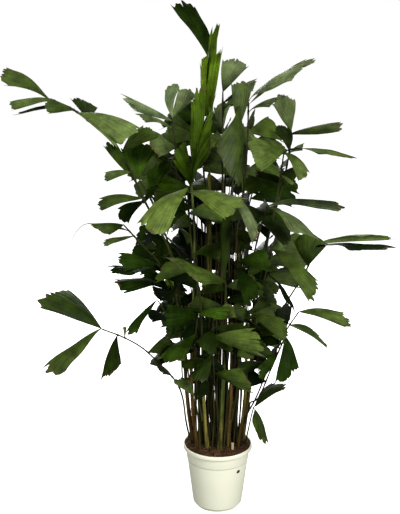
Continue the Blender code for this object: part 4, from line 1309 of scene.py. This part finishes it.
def stalk_mesh(line, radius, places):
    """A round stalk that tapers, clasps its cane at the foot and swells at each leaflet's neck."""
    points = smooth_line(line, STALK_STEPS)
    radii = []
    for number in range(len(points)):
        share = number / (len(points) - 1)
        size = radius * (STALK_FOOT - STALK_TAPER * share)
        size *= 1 + CLASP_SWELL * max(0.0, 1 - share * len(line) * 0.8)
        near = min((abs(number / STALK_STEPS - place) for place in places), default=9)
        size *= 1 + NECK_SWELL * max(0.0, 1 - near * 9)
        radii.append(size)
    radii[-1] *= 0.6
    return tube_mesh(points, radii, 3)


def tendril_mesh(tip):
    """The dried thread that hangs from the end of a leaflet."""
    way = ((0.4, 0.3, 0.0), (-1.5, -0.8, -0.5), (-3.2, -1.6, -2.1), (-4.6, -2.2, -4.4))
    line = smooth_line([tip + Vector(step) * CM for step in way], 6)
    thick, thin = TENDRIL_RADII
    return tube_mesh(line, [blend(thick, thin, number / (len(line) - 1)) for number in range(len(line))], 2)


def frond_body(name, line, radius, leaflets, tone, settings):
    """A frond's leaflets, then its stalk and any thread, whose faces take the second material."""
    bm = bmesh.new()
    layers = {"look": bm.verts.layers.float_color.new(LOOK_LAYER), "fan": bm.loops.layers.uv.new(FAN_LAYER)}
    for number, (place, tip, corner, light) in enumerate(leaflets):
        draw = random.Random(name + str(number))
        fan = Fan(smooth_place(line, place), tip, corner)
        fishtail(bm, layers, fan, settings, draw, tone, light)
    first = len(bm.faces)
    bm.from_mesh(stalk_mesh(line, radius, [leaflet[0] for leaflet in leaflets]))
    if name == TENDRIL_FROND:
        bm.from_mesh(tendril_mesh(leaflets[0][1]))
    bm.faces.ensure_lookup_table()
    for face in bm.faces[first:]:
        face.material_index = 1
    return bm


class PALM_OT_fronds(bpy.types.Operator):
    """Grows every frond: its round stalk, all its ragged fishtail leaflets and one dried thread"""
    bl_idname = "palm.fronds"
    bl_label = "Fronds"

    def execute(self, context):
        settings = context.scene.palm_leaf
        finishes = leaf_materials()
        stalk_finish = stalk_material("stalk_finish", (0.011, 0.013, 0.003), (0.027, 0.031, 0.006))
        green_finish = stalk_material("young_stalk_finish", (0.045, 0.075, 0.012), (0.10, 0.14, 0.03))
        for name, (line, radius, leaflets, tone) in grown_fronds().items():
            skin = green_finish if tone == "bright" else stalk_finish
            bm = frond_body(name, line, radius, leaflets, tone, settings)
            thing = object_from(bm, name.replace("frond", "leafy"), [finishes[tone], skin])
            finish_piece(thing, "leaf_" + tone, name)
        return {"FINISHED"}


# ------------------------------------------------------------------ stage
AIM = Vector((0, 0, 0.9))
FLOOR_SIZE, FLOOR_DROP, FLOOR_GLOW = 14.0, 0.0006, 0.86


class PALM_OT_stage(bpy.types.Operator):
    """Sets the pale floor, the soft studio light and the camera"""
    bl_idname = "palm.stage"
    bl_label = "Stage"

    def execute(self, context):
        settings = context.scene.palm_stage
        self.floor()
        self.world(settings.ambient)
        self.light("key_light", (2.4, -3.2, 2.6), settings.key_power, 1.8)
        self.light("fill_light", (-2.4, -3.4, 1.8), settings.fill_power, 2.4)
        self.light("top_light", (0.0, -0.6, 4.2), settings.top_power, 2.0).specular_factor = 0.5
        self.light("back_light", (-0.6, 3.6, 1.8), settings.back_power, 2.2).specular_factor = 0.1
        self.camera(settings)
        return {"FINISHED"}

    def floor(self):
        """A pale glowing floor that casts no light of its own on the plant."""
        bm = bmesh.new()
        bmesh.ops.create_grid(bm, x_segments=1, y_segments=1, size=FLOOR_SIZE,
                              matrix=Matrix.Translation((0, 0, -FLOOR_DROP)))
        recipe = Recipe("pale_floor", 0.9, 0.1)
        recipe.colour(recipe.ramp(recipe.noise(0.7), [(0.3, (0.90, 0.90, 0.90)), (0.7, (0.92, 0.92, 0.92))]))
        recipe.shader.inputs["Emission Color"].default_value = (1.0, 1.0, 1.0, 1.0)
        recipe.shader.inputs["Emission Strength"].default_value = FLOOR_GLOW
        floor = object_from(bm, "pale_floor", [recipe.material])
        floor.visible_diffuse = False
        floor.visible_glossy = False

    def world(self, ambient):
        """A white backdrop that lights the plant only softly."""
        world = bpy.data.worlds.new("studio")
        bpy.context.scene.world = world
        world.use_nodes = True
        nodes, links = world.node_tree.nodes, world.node_tree.links
        sky = nodes["Background"]
        sky.inputs["Color"].default_value = (1.0, 1.0, 1.0, 1.0)
        path = nodes.new("ShaderNodeLightPath")
        strength = nodes.new("ShaderNodeMapRange")
        strength.inputs["To Min"].default_value = ambient
        strength.inputs["To Max"].default_value = 1.0
        links.new(path.outputs["Is Camera Ray"], strength.inputs["Value"])
        links.new(strength.outputs["Result"], sky.inputs["Strength"])

    def light(self, name, place, power, size):
        """A soft square light, aimed at the middle of the plant."""
        lamp = bpy.data.lights.new(name, "AREA")
        lamp.energy = power
        lamp.size = size
        thing = new_object(name, lamp)
        thing.location = place
        thing.rotation_euler = (AIM - Vector(place)).to_track_quat("-Z", "Y").to_euler()
        return lamp

    def camera(self, settings):
        """The camera in front of the plant, level with its crown and looking slightly down."""
        lens = bpy.data.cameras.new("camera")
        lens.lens = settings.lens
        lens.sensor_width = 36.0
        lens.sensor_fit = "AUTO"
        thing = new_object("camera", lens)
        thing.location = settings.eye
        thing.rotation_euler = (math.pi / 2 - settings.pitch, 0.0, 0.0)
        bpy.context.scene.camera = thing
        bpy.context.scene.view_settings.view_transform = "Standard"


OPERATORS = (PALM_OT_stage, PALM_OT_pot, PALM_OT_soil, PALM_OT_canes, PALM_OT_fronds)


class PALM_PT_panel(bpy.types.Panel):
    """Lists the pieces and their settings"""
    bl_idname = "PALM_PT_panel"
    bl_label = "Potted fishtail palm"
    bl_space_type = "VIEW_3D"
    bl_region_type = "UI"
    bl_category = "Palm"

    def draw(self, context):
        for operator in OPERATORS:
            self.layout.operator(operator.bl_idname)
        for name, group in SETTINGS.items():
            box = self.layout.box()
            for field in group.__annotations__:
                box.prop(getattr(context.scene, name), field)


def register():
    for thing in (*SETTINGS.values(), *OPERATORS, PALM_PT_panel):
        bpy.utils.register_class(thing)
    for name, group in SETTINGS.items():
        setattr(bpy.types.Scene, name, PointerProperty(type=group))


def unregister():
    for name in SETTINGS:
        delattr(bpy.types.Scene, name)
    for thing in (PALM_PT_panel, *reversed(OPERATORS), *SETTINGS.values()):
        bpy.utils.unregister_class(thing)


def main():
    register()
    bpy.ops.palm.stage()
    bpy.ops.palm.pot()
    bpy.ops.palm.soil()
    bpy.ops.palm.canes()
    bpy.ops.palm.fronds()


if __name__ == "__main__":
    main()
